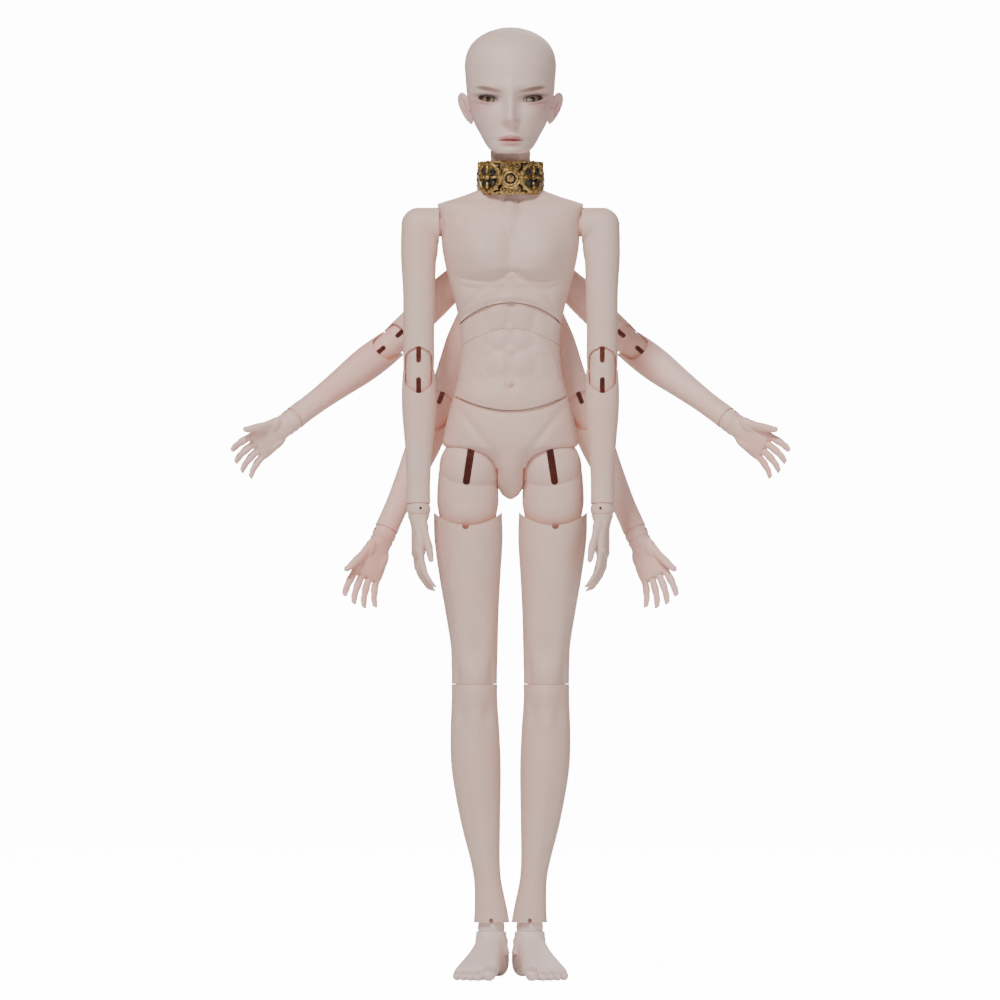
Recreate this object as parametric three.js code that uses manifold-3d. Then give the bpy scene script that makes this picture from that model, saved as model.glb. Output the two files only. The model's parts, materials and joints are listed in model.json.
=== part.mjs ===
// Six-armed ball jointed doll, standing with its front towards -Y.
// Millimetres, +Z up, origin on the ground under the middle of the figure.
// Hollow cast pieces meet at balls and sockets, and elastic runs through their bores.
// The doll's left side is +X. A right piece is the mirror image of its left one.

import * as THREE from 'three';
import { mergeVertices } from 'three/addons/utils/BufferGeometryUtils.js';
import Module from 'manifold-3d';

const wasm = await Module();
wasm.setup();
const { Manifold, Mesh } = wasm;

// Clearances and facets shared by all pieces
const seatGap = 0.3;
const overrun = 4;
const ballSides = 10;
const limbSides = 10;
const boreSides = 6;

// Torso
const torso = {
  crotchHeight: 352,
  neckTopHeight: 606,
  hipWidth: 99,
  hipDepth: 54,
  boreRadius: 8,
};
const waist = {
  seamHeight: 417,
  seamRise: 16,
  axisHeight: 433,
  bowlRadius: 24.5,
  bowlHalfWidth: 39,
  swing: 3.2,
};
const twist = {
  domeHeight: 443.2,
  domeRadius: 42.1,
};
const slouch = {
  seamHeight: 500.3,
  archRadius: 61.3,
  backDrop: 14,
  axisHeight: 492,
  domeRadius: 23.6,
  domeHalfWidth: 37.5,
  swing: 3.4,
};
const neck = {
  ballHeight: 606,
  ballRadius: 14.8,
  boreRadius: 5.2,
};

// Head
const head = {
  width: 67.4,
  depth: 84,
  chinHeight: 605.7,
  crownHeight: 700,
  wall: 4,
  capSeamHeight: 674,
  capTilt: 39,
  floor: 4.2,
  shankRoom: 7.8,
};
const eye = {
  height: 645.4,
  spacing: 33.6,
  radius: 8,
  centreY: -23.6,
  openingWidth: 14.5,
  openingHeight: 5.2,
};
const ear = {
  height: 640,
  lobeHeight: 23,
  depth: 12,
  thickness: 5.4,
  flare: 27,
};
const hook = {
  wire: 1.4,
  dishRadius: 9.4,
  dishThickness: 2.4,
  shank: 44,
};

// Collar
const collar = {
  bottomHeight: 575.6,
  topHeight: 601.4,
  innerRadius: 20.4,
  thickness: 2.6,
  rosetteRadius: 8.2,
  largeRosetteRadius: 11.6,
  rosetteRise: 2,
  rosetteDepth: 2.2,
  scallops: 11,
  scallopDepth: 1.6,
};

// Arms, all six alike below the upper arm
const arm = {
  frontUpperLength: 97,
  rearUpperLength: 75.5,
  elbowSpan: 23,
  foreLength: 90.5,
  shoulderRadius: 13,
  rearShoulderRadius: 10.2,
  upperWidth: 24.4,
  upperDepth: 25,
  elbowBallRadius: 9.5,
  foreWidth: 23.8,
  wristBallRadius: 8.8,
  wristRimDrop: 4.3,
  boreRadius: 3.2,
  slotWidth: 3.7,
  slotLength: 12.5,
  crease: 10,
  pinholeRadius: 1.1,
  frontPalmTurn: 10,
  rearPalmTurn: -55,
  frontSwing: 6,
};
const elbowFlexMost = 70;
const kneeFlexMost = 68;
const shoulder = {
  frontX: 67.5,
  frontHeight: 554,
  seatX: 52.4,
  bossRadius: 8.6,
};

// Resting places of the two rear pairs
const upperRear = {
  shoulderX: 30,
  shoulderY: 27,
  shoulderHeight: 524,
  elbowX: 86.2,
  elbowY: 61,
  elbowHeight: 468.6,
  wristX: 160.6,
  wristY: 19,
  wristHeight: 411.5,
};
const lowerRear = {
  shoulderX: 26,
  shoulderY: 29,
  shoulderHeight: 497,
  elbowX: 54.2,
  elbowY: 52,
  elbowHeight: 414.8,
  wristX: 95.3,
  wristY: 26,
  wristHeight: 321,
};

// Hands
const hand = {
  palmLength: 31,
  palmWidth: 24,
  palmThickness: 9.4,
  fingerLength: 31,
  fingerRadius: 3.1,
  fingerSpread: 6.8,
  thumbLength: 27,
  thumbRadius: 3.5,
};

// Legs
const leg = {
  axisX: 31.4,
  hipAxisX: 30,
  hipHeight: 375,
  hipRadius: 24.6,
  hipHalfWidth: 22.6,
  hipInnerX: 9.6,
  plugRadius: 21.8,
  plugHeight: 345,
  rimHeight: 343,
  rimDip: 10,
  thighHalfWidth: 25.6,
  thighHalfDepth: 26.4,
  kneeX: 26.5,
  kneeUpperHeight: 225,
  kneeSpan: 25,
  kneeBallRadius: 14.2,
  kneeSlotLength: 18.5,
  kneeCrease: 9,
  calfHalfWidth: 18.4,
  calfHalfDepth: 20.5,
  ankleX: 14.2,
  ankleHeight: 37,
  ankleRadius: 10,
  cuffHeight: 40.5,
  slotWidth: 5.5,
  slotLength: 38,
  slotLean: 8.6,
  boreRadius: 5.5,
};
const foot = {
  soleLength: 90,
  width: 33,
  heelBack: 23,
  heelHalfWidth: 11,
  instepHeight: 34,
  toeRadius: 4.6,
  splay: 12,
};

// Materials
const finish = (color, roughness, metalness) =>
  new THREE.MeshStandardMaterial({ color, roughness, metalness });
const resin = finish(0xd9c6bd, 0.62, 0);
const steel = finish(0x9a9a98, 0.35, 1);
const gold = finish(0xa98a48, 0.42, 0.9);
const glass = finish(0x4b3a36, 0.1, 0);

const vec = (x, y, z) => new THREE.Vector3(x, y, z);
const placesOf = (rear) => ({
  shoulder: vec(rear.shoulderX, rear.shoulderY, rear.shoulderHeight),
  elbow: vec(rear.elbowX, rear.elbowY, rear.elbowHeight),
  wrist: vec(rear.wristX, rear.wristY, rear.wristHeight),
});
const rearArms = { upper: placesOf(upperRear), lower: placesOf(lowerRear) };
const rad = THREE.MathUtils.degToRad;
const spike = (value, power) => Math.sign(value) * Math.abs(value) ** power;

// A closed geometry as a solid that can be joined and cut
function solidOf(geometry) {
  const bare = geometry.index ? geometry.clone() : geometry;
  bare.deleteAttribute('normal');
  bare.deleteAttribute('uv');
  const merged = mergeVertices(bare);
  return new Manifold(new Mesh({
    numProp: 3,
    vertProperties: new Float32Array(merged.attributes.position.array),
    triVerts: new Uint32Array(merged.index.array),
  }));
}

function geometryOf(solid) {
  const mesh = solid.getMesh();
  const geometry = new THREE.BufferGeometry();
  geometry.setAttribute('position', new THREE.BufferAttribute(mesh.vertProperties, 3));
  geometry.setIndex(new THREE.BufferAttribute(mesh.triVerts, 1));
  return geometry;
}

// The mirror image of a geometry in the doll's middle plane
function mirrored(geometry) {
  const copy = geometry.clone();
  const places = copy.attributes.position;
  for (let i = 0; i < places.count; i += 1) places.setX(i, -places.getX(i));
  const index = copy.index.array;
  for (let i = 0; i < index.length; i += 3) {
    const second = index[i + 1];
    index[i + 1] = index[i + 2];
    index[i + 2] = second;
  }
  return copy;
}

// A closed skin over rings of points, each ring counter-clockwise seen from the last one
function skinOver(rings) {
  const sides = rings[0].length;
  const points = rings.flat();
  const index = [];
  for (let r = 0; r + 1 < rings.length; r += 1) {
    for (let s = 0; s < sides; s += 1) {
      const a = r * sides + s;
      const b = r * sides + ((s + 1) % sides);
      index.push(a, b, b + sides, a, b + sides, a + sides);
    }
  }
  const middle = (ring) => ring.reduce((sum, p) => sum.add(p), vec(0, 0, 0)).divideScalar(sides);
  const bottom = points.push(middle(rings[0])) - 1;
  const top = points.push(middle(rings.at(-1))) - 1;
  const last = (rings.length - 1) * sides;
  for (let s = 0; s < sides; s += 1) {
    const next = (s + 1) % sides;
    index.push(bottom, next, s, top, last + s, last + next);
  }
  const geometry = new THREE.BufferGeometry().setFromPoints(points);
  geometry.setIndex(index);
  return solidOf(geometry);
}

// A ring of the outline between an ellipse and a box, level at height z
function levelRing({ x = 0, y = 0, z, halfWidth, halfDepth, power = 1 }, sides = limbSides) {
  return Array.from({ length: sides }, (_, i) => {
    const turn = (2 * Math.PI * (i + 0.5)) / sides;
    const across = spike(Math.cos(turn), power);
    return vec(x + halfWidth * across, y + halfDepth * spike(Math.sin(turn), power), z);
  });
}

// A loft through rows of shares: height, width, depth, shift across and shift back
function loft(shares, size, sides = limbSides) {
  return skinOver(shares.map(([up, wide, deep, across = 0, back = 0]) => levelRing({
    x: size.x + across * size.halfWidth,
    y: size.y + back * size.halfDepth,
    z: size.bottom + up * size.height,
    halfWidth: wide * size.halfWidth,
    halfDepth: deep * size.halfDepth,
    power: size.power ?? 1,
  }, sides)));
}

// A round bar along a list of points, with a radius at each point
function barAlong(points, radii, sides = boreSides) {
  return skinOver(points.map((point, i) => {
    const before = points[Math.max(i - 1, 0)];
    const after = points[Math.min(i + 1, points.length - 1)];
    const along = after.clone().sub(before).normalize();
    const turn = new THREE.Quaternion().setFromUnitVectors(vec(0, 0, 1), along);
    return Array.from({ length: sides }, (_, s) => {
      const angle = (2 * Math.PI * s) / sides;
      const out = vec(Math.cos(angle), Math.sin(angle), 0).multiplyScalar(radii[i]);
      return out.applyQuaternion(turn).add(point);
    });
  }));
}
const bar = (from, to, radius, sides) => barAlong([from, to], [radius, radius], sides);

// A faceted ball with its poles to the sides
function facetedBall(place, size, sides, rows, turn) {
  const geometry = new THREE.SphereGeometry(1, sides, rows);
  geometry.rotateZ(Math.PI / 2);
  geometry.rotateX(turn);
  geometry.scale(size.x, size.y, size.z);
  geometry.translate(place.x, place.y, place.z);
  return solidOf(geometry);
}

// A ball whose corners lie at its radius, facing the middles of the facets of its socket
const ball = (place, size, sides = ballSides) =>
  facetedBall(place, size, sides, sides / 2 + 1, Math.PI / sides);
const evenly = (radius) => vec(radius, radius, radius);
const clearOf = (radius, sides = ballSides) => (radius + seatGap) / Math.cos(Math.PI / sides) ** 2;
const socketBall = (place, radius) =>
  facetedBall(place, evenly(clearOf(radius)), ballSides, ballSides / 2, 0);

function block(low, high) {
  const geometry = new THREE.BoxGeometry(high.x - low.x, high.y - low.y, high.z - low.z);
  geometry.translate((low.x + high.x) / 2, (low.y + high.y) / 2, (low.z + high.z) / 2);
  return solidOf(geometry);
}

// A slot with round ends, open from a limb's bore to its front (facing -1) or back (facing 1)
function slot(x, middle, width, length, depth, facing, tilt = 0) {
  const half = width / 2;
  const run = length / 2 - half;
  const outline = new THREE.Shape();
  outline.absarc(0, run, half, 0, Math.PI);
  outline.absarc(0, -run, half, Math.PI, 2 * Math.PI);
  const options = { depth, bevelEnabled: false, curveSegments: 2 };
  const geometry = new THREE.ExtrudeGeometry(outline, options);
  geometry.rotateX(Math.PI / 2);
  geometry.rotateY(tilt);
  if (facing > 0) geometry.translate(0, depth, 0);
  geometry.translate(x, 0, middle);
  return solidOf(geometry);
}

// Torso: one skin, parted at the slouch, twist and waist joints
const torsoHeight = torso.neckTopHeight - torso.crotchHeight;
const torsoShares = [
  [0, 0.12, 0.3, 0, 0.08], [0.04, 0.19, 0.6, 0, 0.06], [0.095, 0.27, 0.86, 0, 0.03],
  [0.134, 0.66, 0.97, 0, 0.02], [0.154, 0.995, 1, 0, 0.02], [0.19, 0.985, 1.02, 0, 0.02],
  [0.256, 0.91, 1, 0, 0], [0.319, 0.82, 0.95, 0, -0.02], [0.386, 0.752, 0.89, 0, -0.03],
  [0.441, 0.73, 0.86, 0, -0.02], [0.496, 0.752, 0.89, 0, 0], [0.543, 0.794, 0.93, 0, 0],
  [0.602, 0.869, 1, 0, -0.01], [0.669, 0.96, 1.07, 0, -0.02], [0.732, 1.02, 1.09, 0, -0.01],
  [0.799, 1.042, 1, 0, 0], [0.845, 1.09, 0.84, 0, 0.04], [0.858, 1.13, 0.68, 0, 0.06],
  [0.868, 0.95, 0.62, 0, 0.06], [0.885, 0.66, 0.58, 0, 0.05], [0.905, 0.42, 0.55, 0, 0.03],
  [0.93, 0.33, 0.54, 0, 0], [1, 0.3, 0.548, 0, 0],
];
const torsoSides = 16;
const torsoCornerShare = 0.88;
const torsoBallSides = 12;
const torsoSkin = () => loft(torsoShares, {
  x: 0,
  y: 0,
  bottom: torso.crotchHeight,
  height: torsoHeight,
  halfWidth: torso.hipWidth / 2,
  halfDepth: torso.hipDepth / 2,
  power: torsoCornerShare,
}, torsoSides);

const farAcross = torso.hipWidth;
const farDeep = torso.hipDepth;

// All below the slouch seam, an arch from side to side that drops towards the back
function belowSlouch(gap) {
  const { seamHeight: top, archRadius: radius, backDrop: drop } = slouch;
  const sides = 40;
  const rings = [-1, 1].map((back) => Array.from({ length: sides }, (_, i) => {
    const turn = -(2 * Math.PI * i) / sides;
    const out = radius - gap;
    const low = top - radius - (drop * (back + 1)) / 2 + drop / 2;
    return vec(out * Math.cos(turn), back * farDeep, low + out * Math.sin(turn));
  }));
  const arch = skinOver(rings);
  const floor = block(
    vec(-farAcross, -farDeep, torso.crotchHeight - overrun),
    vec(farAcross, farDeep, top - radius),
  );
  return arch.add(floor);
}

// All below the ball-shaped seam on which the upper torso twists
function belowTwist(gap) {
  const sides = 24;
  const floor = block(
    vec(-farAcross, -farDeep, torso.crotchHeight - overrun),
    vec(farAcross, farDeep, twist.domeHeight),
  );
  return ball(vec(0, 0, twist.domeHeight), evenly(twist.domeRadius + gap), sides).add(floor);
}

// All below the waist seam, a bowl line that dips at the front
function belowWaist(drop) {
  const steps = 8;
  const run = torso.hipWidth / 2;
  const outline = new THREE.Shape();
  outline.moveTo(-run - overrun, torso.crotchHeight - overrun);
  outline.lineTo(run + overrun, torso.crotchHeight - overrun);
  for (let i = 0; i <= steps; i += 1) {
    const share = 1 - (2 * i) / steps;
    outline.lineTo((run + overrun) * share, waist.seamHeight + waist.seamRise * share ** 2 - drop);
  }
  outline.closePath();
  const geometry = new THREE.ExtrudeGeometry(outline, { depth: 2 * farDeep, bevelEnabled: false });
  geometry.rotateX(Math.PI / 2);
  geometry.translate(0, farDeep, 0);
  return solidOf(geometry);
}

const waistBowl = (gap) => ball(
  vec(0, 0, waist.axisHeight),
  vec(waist.bowlHalfWidth + gap, waist.bowlRadius + gap, waist.bowlRadius + gap),
  torsoBallSides,
);
const slouchDome = (gap) => ball(
  vec(0, 0, slouch.axisHeight),
  vec(slouch.domeHalfWidth + gap, slouch.domeRadius + gap, slouch.domeRadius + gap),
  torsoBallSides,
);
const domeGap = 3 * seatGap;
const torsoBore = () => bar(
  vec(0, 0, waist.axisHeight - torso.hipDepth),
  vec(0, 0, shoulder.frontHeight),
  torso.boreRadius,
);

function legRoom() {
  const centre = vec(leg.hipAxisX, 0, leg.hipHeight);
  const cup = ball(
    centre,
    vec(leg.hipHalfWidth + domeGap, leg.hipRadius + domeGap, leg.hipRadius + domeGap),
    ballSides + boreSides,
  );
  const below = block(
    vec(leg.hipInnerX - seatGap, -farDeep, torso.crotchHeight - overrun),
    vec(farAcross, farDeep, leg.hipHeight),
  );
  return cup.add(below);
}

function pelvisSolid() {
  const room = legRoom();
  const otherRoom = solidOf(mirrored(geometryOf(room)));
  return torsoSkin()
    .intersect(belowWaist(seatGap))
    .subtract(waistBowl(domeGap))
    .subtract(room)
    .subtract(otherRoom)
    .subtract(torsoBore());
}

function bellySolid() {
  const skin = torsoSkin();
  const bowl = skin.intersect(waistBowl(0));
  return skin
    .subtract(belowWaist(-waist.swing))
    .add(bowl)
    .intersect(belowTwist(-seatGap))
    .subtract(torsoBore());
}

const rearShoulderRoom = (side) => {
  const { x, y, z } = rearArms.lower.shoulder;
  return ball(vec(side * x, y, z), evenly(arm.rearShoulderRadius + slouch.swing));
};

function abdomenSolid() {
  const skin = torsoSkin();
  const dome = skin.intersect(slouchDome(0));
  return skin
    .intersect(belowSlouch(slouch.swing))
    .add(dome)
    .subtract(rearShoulderRoom(1))
    .subtract(rearShoulderRoom(-1))
    .subtract(belowTwist(seatGap))
    .subtract(torsoBore());
}

function chestSolid() {
  const bossPlace = vec(shoulder.seatX, 0, shoulder.frontHeight);
  let chest = torsoSkin()
    .subtract(belowSlouch(0))
    .subtract(slouchDome(domeGap))
    .subtract(torsoBore())
    .add(ball(vec(0, 0, neck.ballHeight), evenly(neck.ballRadius)))
    .subtract(bar(
      vec(0, 0, shoulder.frontHeight - overrun),
      vec(0, 0, neck.ballHeight + 2 * neck.ballRadius),
      neck.boreRadius,
    ));
  const seat = bar(
    bossPlace,
    vec(farAcross, 0, shoulder.frontHeight),
    arm.shoulderRadius + 2 * seatGap,
    ballSides,
  );
  const channel = bar(
    vec(0, 0, shoulder.frontHeight),
    vec(farAcross, 0, shoulder.frontHeight),
    arm.boreRadius,
  );
  const cuts = [seat, channel, socketBall(bossPlace, shoulder.bossRadius)];
  for (const pair of Object.values(rearArms)) {
    const place = vec(pair.shoulder.x, pair.shoulder.y, pair.shoulder.z);
    cuts.push(socketBall(place, arm.rearShoulderRadius));
    cuts.push(bar(place, vec(0, 0, pair.shoulder.z), arm.boreRadius));
  }
  for (const cut of cuts) {
    chest = chest.subtract(cut).subtract(solidOf(mirrored(geometryOf(cut))));
  }
  return chest;
}

// A piece turned about a point, angles in degrees
function turned(solid, pivot, x, y, z) {
  const turn = new THREE.Matrix4().makeRotationFromEuler(new THREE.Euler(rad(x), rad(y), rad(z)));
  const geometry = geometryOf(solid);
  geometry.translate(-pivot.x, -pivot.y, -pivot.z);
  geometry.applyMatrix4(turn);
  geometry.translate(pivot.x, pivot.y, pivot.z);
  return solidOf(geometry);
}

// What a double hinge clears from the limb on one side of it: the ball's cup, the sweep of
// the link as it folds, and the notch in front of the rounded side lobes
function hingeRoom({ radius, span, lobe, flex, facing, way }) {
  const centre = vec(0, 0, 0);
  const clear = clearOf(radius);
  const far = 2 * span;
  let room = socketBall(centre, radius);
  for (const angle of [0, rad(flex)]) {
    const tip = vec(0, facing * Math.sin(angle), way * Math.cos(angle)).multiplyScalar(span);
    const ends = way > 0 ? [centre, tip] : [tip, centre];
    room = room.add(bar(...ends, clear, limbSides));
  }
  const quarter = (half) => block(
    vec(-half, Math.min(0, facing * far), Math.min(0, way * far)),
    vec(half, Math.max(0, facing * far), Math.max(0, way * far)),
  );
  room = room.add(quarter(clear));
  const notch = quarter(far);
  const disc = bar(vec(-far, 0, 0), vec(far, 0, 0), lobe - seatGap, ballSides + boreSides);
  return room.add(notch.subtract(disc));
}

function moved(solid, x, y, z) {
  return solidOf(geometryOf(solid).translate(x, y, z));
}

const tipShare = 0.12;
// The link of a double hinge: two balls on one bar, bored, with a slot for each fold
function linkSolid({ radius, span, bore, slotWide, slotLong, facing }) {
  const steps = 3;
  const rings = [];
  for (const [end, from] of [[-span, -1], [0, 0]]) {
    for (let i = 0; i <= steps; i += 1) {
      const angle = ((from + i / steps) * Math.PI) / 2;
      const around = Math.max(Math.cos(angle), tipShare) * radius;
      rings.push(levelRing({
        z: end + radius * Math.sin(angle),
        halfWidth: around,
        halfDepth: around,
      }, ballSides));
    }
  }
  let link = skinOver(rings);
  link = link.subtract(bar(vec(0, 0, -span - 2 * radius), vec(0, 0, 2 * radius), bore));
  for (const middle of [0, -span]) {
    link = link.subtract(slot(0, middle, slotWide, slotLong, 2 * radius, facing));
  }
  return link;
}

// Arm pieces, each in the frame of its own joint, with the limb along -Z and folding to -Y
const frontArmShares = [
  [0, 0.94, 0.92], [0.1, 0.95, 0.94], [0.24, 0.94, 0.92], [0.42, 0.97, 0.94],
  [0.6, 1, 1], [0.78, 1.05, 1.03], [0.94, 1.05, 1],
];
const rearArmShares = [
  [0, 0.94, 0.92], [0.1, 0.95, 0.94], [0.24, 0.94, 0.92], [0.6, 0.96, 0.93],
  [0.8, 0.86, 0.84], [1, 0.75, 0.73],
];
const foreArmShares = [
  [0, 0.74, 0.72], [0.06, 0.72, 0.7], [0.22, 0.74, 0.72], [0.45, 0.86, 0.84],
  [0.68, 0.98, 0.97], [0.86, 1, 1], [1, 0.98, 0.97],
];

function upperArmSolid(length, shoulderRadius, shares) {
  const reach = length + arm.crease - seatGap;
  const limb = loft(shares, {
    x: 0,
    y: 0,
    bottom: -reach,
    height: reach,
    halfWidth: arm.upperWidth / 2,
    halfDepth: arm.upperDepth / 2,
  });
  const room = hingeRoom({
    radius: arm.elbowBallRadius,
    span: arm.elbowSpan,
    lobe: arm.crease,
    flex: elbowFlexMost,
    facing: -1,
    way: -1,
  });
  return limb
    .add(ball(vec(0, 0, 0), evenly(shoulderRadius)))
    .subtract(moved(room, 0, 0, -length))
    .subtract(bar(vec(0, 0, -length), vec(0, 0, 0), arm.boreRadius));
}

function frontUpperArmSolid() {
  const inward = shoulder.seatX - shoulder.frontX;
  const boss = ball(vec(inward, 0, 0), evenly(shoulder.bossRadius))
    .intersect(bar(
      vec(inward - 2 * shoulder.bossRadius, 0, 0),
      vec(0, 0, 0),
      shoulder.bossRadius,
      ballSides,
    ));
  return upperArmSolid(arm.frontUpperLength, arm.shoulderRadius, frontArmShares)
    .add(boss)
    .subtract(bar(vec(inward - 2 * shoulder.bossRadius, 0, 0), vec(0, 0, 0), arm.boreRadius));
}

function rearUpperArmSolid() {
  return upperArmSolid(arm.rearUpperLength, arm.rearShoulderRadius, rearArmShares)
    .subtract(bar(vec(0, 0, 0), vec(0, 0, 2 * arm.rearShoulderRadius), arm.boreRadius));
}

const elbowSolid = () => linkSolid({
  radius: arm.elbowBallRadius,
  span: arm.elbowSpan,
  bore: arm.boreRadius,
  slotWide: arm.slotWidth,
  slotLong: arm.slotLength,
  facing: -1,
});

function foreArmSolid() {
  const top = arm.elbowSpan - arm.crease - seatGap;
  const room = hingeRoom({
    radius: arm.elbowBallRadius,
    span: arm.elbowSpan,
    lobe: arm.elbowSpan - arm.crease,
    flex: elbowFlexMost,
    facing: -1,
    way: 1,
  });
  const wrist = vec(0, 0, -arm.foreLength);
  return loft(foreArmShares, {
    x: 0,
    y: 0,
    bottom: -arm.foreLength + arm.wristRimDrop,
    height: arm.foreLength - arm.wristRimDrop + top,
    halfWidth: arm.foreWidth / 2,
    halfDepth: arm.foreWidth / 2,
  })
    .subtract(room)
    .subtract(socketBall(wrist, arm.wristBallRadius))
    .subtract(bar(wrist, vec(0, 0, 0), arm.boreRadius));
}

function wristSolid() {
  const radius = arm.wristBallRadius;
  return ball(vec(0, 0, 0), evenly(radius))
    .subtract(bar(vec(0, 0, -2 * radius), vec(0, 0, 2 * radius), arm.boreRadius))
    .subtract(bar(vec(0, -2 * radius, 0), vec(0, 0, 0), arm.pinholeRadius, boreSides / 2));
}

// Hand: fingers along -Z, palm to -X and thumb to -Y
const palmShares = [
  [0, 0.72, 0.96], [0.12, 0.95, 1.02], [0.45, 1.08, 0.96], [0.78, 1.2, 0.74], [1, 1.72, 0.7],
];
const fingerShares = [[-0.76, 0.93], [-0.26, 1], [0.24, 0.95], [0.73, 0.76]];
const phalanxShares = [[0, 0, 1.05], [0.4, 0.05, 1], [0.72, 0.18, 0.86], [1, 0.37, 0.6]];
const thumbPathShares = [[0, 0, 1.1], [0.5, 0.1, 1], [1, 0.14, 0.6]];
const fingerSides = 5;

function handSolid() {
  const top = -arm.wristRimDrop;
  const knuckles = top - hand.palmLength;
  let solid = loft(palmShares, {
    x: 0,
    y: 0,
    bottom: knuckles,
    height: hand.palmLength,
    halfWidth: hand.palmThickness / 2,
    halfDepth: hand.palmWidth / 2,
  }, limbSides);
  const bend = (rows, root, length, radius, spread) => {
    const points = rows.map(([down, curl]) => vec(
      root.x - curl * length,
      root.y + down * spread,
      root.z - down * length * Math.cos(curl),
    ));
    const radii = rows.map(([, , share]) => share * radius);
    return barAlong(points.reverse(), radii.reverse(), fingerSides);
  };
  for (const [place, share] of fingerShares) {
    const root = vec(0, (place * hand.palmWidth) / 2, knuckles + hand.fingerRadius);
    const spread = place * hand.fingerSpread;
    solid = solid.add(bend(
      phalanxShares,
      root,
      hand.fingerLength * share,
      hand.fingerRadius,
      spread,
    ));
  }
  const thumbRoot = vec(
    -hand.palmThickness / 4,
    -hand.palmWidth / 3,
    top - hand.palmLength / 3,
  );
  solid = solid.add(bend(
    thumbPathShares,
    thumbRoot,
    hand.thumbLength,
    hand.thumbRadius,
    -hand.palmWidth / 2,
  ));
  return solid.subtract(socketBall(vec(0, 0, 0), arm.wristBallRadius));
}

// Leg pieces, left leg, each in the frame of its own joint
function hipSolid() {
  const drop = leg.hipHeight - leg.plugHeight;
  const shiftX = leg.axisX - leg.hipAxisX;
  const cup = ball(
    vec(0, 0, 0),
    vec(leg.hipHalfWidth, leg.hipRadius, leg.hipRadius),
    ballSides + boreSides,
  );
  const body = loft(hipShares, {
    x: shiftX,
    y: 0,
    bottom: leg.rimHeight - leg.hipHeight + seatGap,
    height: drop,
    halfWidth: leg.plugRadius,
    halfDepth: leg.plugRadius,
  }, ballSides);
  const plugPlace = vec(shiftX, 0, -drop);
  const plug = ball(plugPlace, evenly(leg.plugRadius))
    .add(bar(plugPlace, vec(shiftX, 0, 0), leg.plugRadius, ballSides));
  const slotMiddle = leg.hipRadius * hipSlotShare;
  return cup.add(body).add(plug)
    .subtract(slot(
      0,
      slotMiddle,
      leg.slotWidth,
      leg.slotLength,
      2 * leg.hipRadius,
      -1,
      -rad(leg.slotLean),
    ))
    .subtract(bar(vec(0, 0, -2 * leg.hipRadius), vec(0, 0, 2 * leg.hipRadius), leg.boreRadius));
}
const hipSlotShare = 0.26;
const hipShares = [[0, 1.06, 0.98], [0.3, 1.05, 0.98], [0.7, 1.02, 0.95], [1, 0.98, 0.9]];

const thighShares = [
  [0, 0.655, 0.66, -0.19, 0.02], [0.09, 0.66, 0.68, -0.19, 0.01], [0.22, 0.68, 0.7, -0.185, 0.02],
  [0.42, 0.77, 0.8, -0.12, 0.03], [0.62, 0.88, 0.92, -0.06, 0.02], [0.84, 0.985, 0.99, -0.02, 0],
  [1, 0.985, 0.985, 0, 0],
];
function thighSolid() {
  const kneeDrop = leg.rimHeight - leg.kneeUpperHeight;
  const reach = kneeDrop + leg.kneeCrease - seatGap;
  const room = hingeRoom({
    radius: leg.kneeBallRadius,
    span: leg.kneeSpan,
    lobe: leg.kneeCrease,
    flex: kneeFlexMost,
    facing: 1,
    way: -1,
  });
  const kneeShift = leg.kneeX - leg.axisX;
  const rimArch = (leg.thighHalfWidth ** 2 + leg.rimDip ** 2) / (2 * leg.rimDip);
  const rimCut = bar(
    vec(0, 2 * leg.thighHalfDepth, rimArch - leg.rimDip),
    vec(0, -2 * leg.thighHalfDepth, rimArch - leg.rimDip),
    rimArch,
    ballSides + ballSides,
  );
  const cupPlace = vec(0, 0, leg.plugHeight - leg.rimHeight);
  return loft(thighShares, {
    x: 0,
    y: 0,
    bottom: -reach,
    height: reach,
    halfWidth: leg.thighHalfWidth,
    halfDepth: leg.thighHalfDepth,
  }, limbSides + 2)
    .subtract(rimCut)
    .subtract(socketBall(cupPlace, leg.plugRadius))
    .subtract(moved(room, kneeShift, 0, -kneeDrop))
    .subtract(bar(vec(kneeShift, 0, -kneeDrop), vec(0, 0, 0), leg.boreRadius));
}

const kneeSolid = () => linkSolid({
  radius: leg.kneeBallRadius,
  span: leg.kneeSpan,
  bore: leg.boreRadius,
  slotWide: leg.slotWidth,
  slotLong: leg.kneeSlotLength,
  facing: 1,
});

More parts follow.
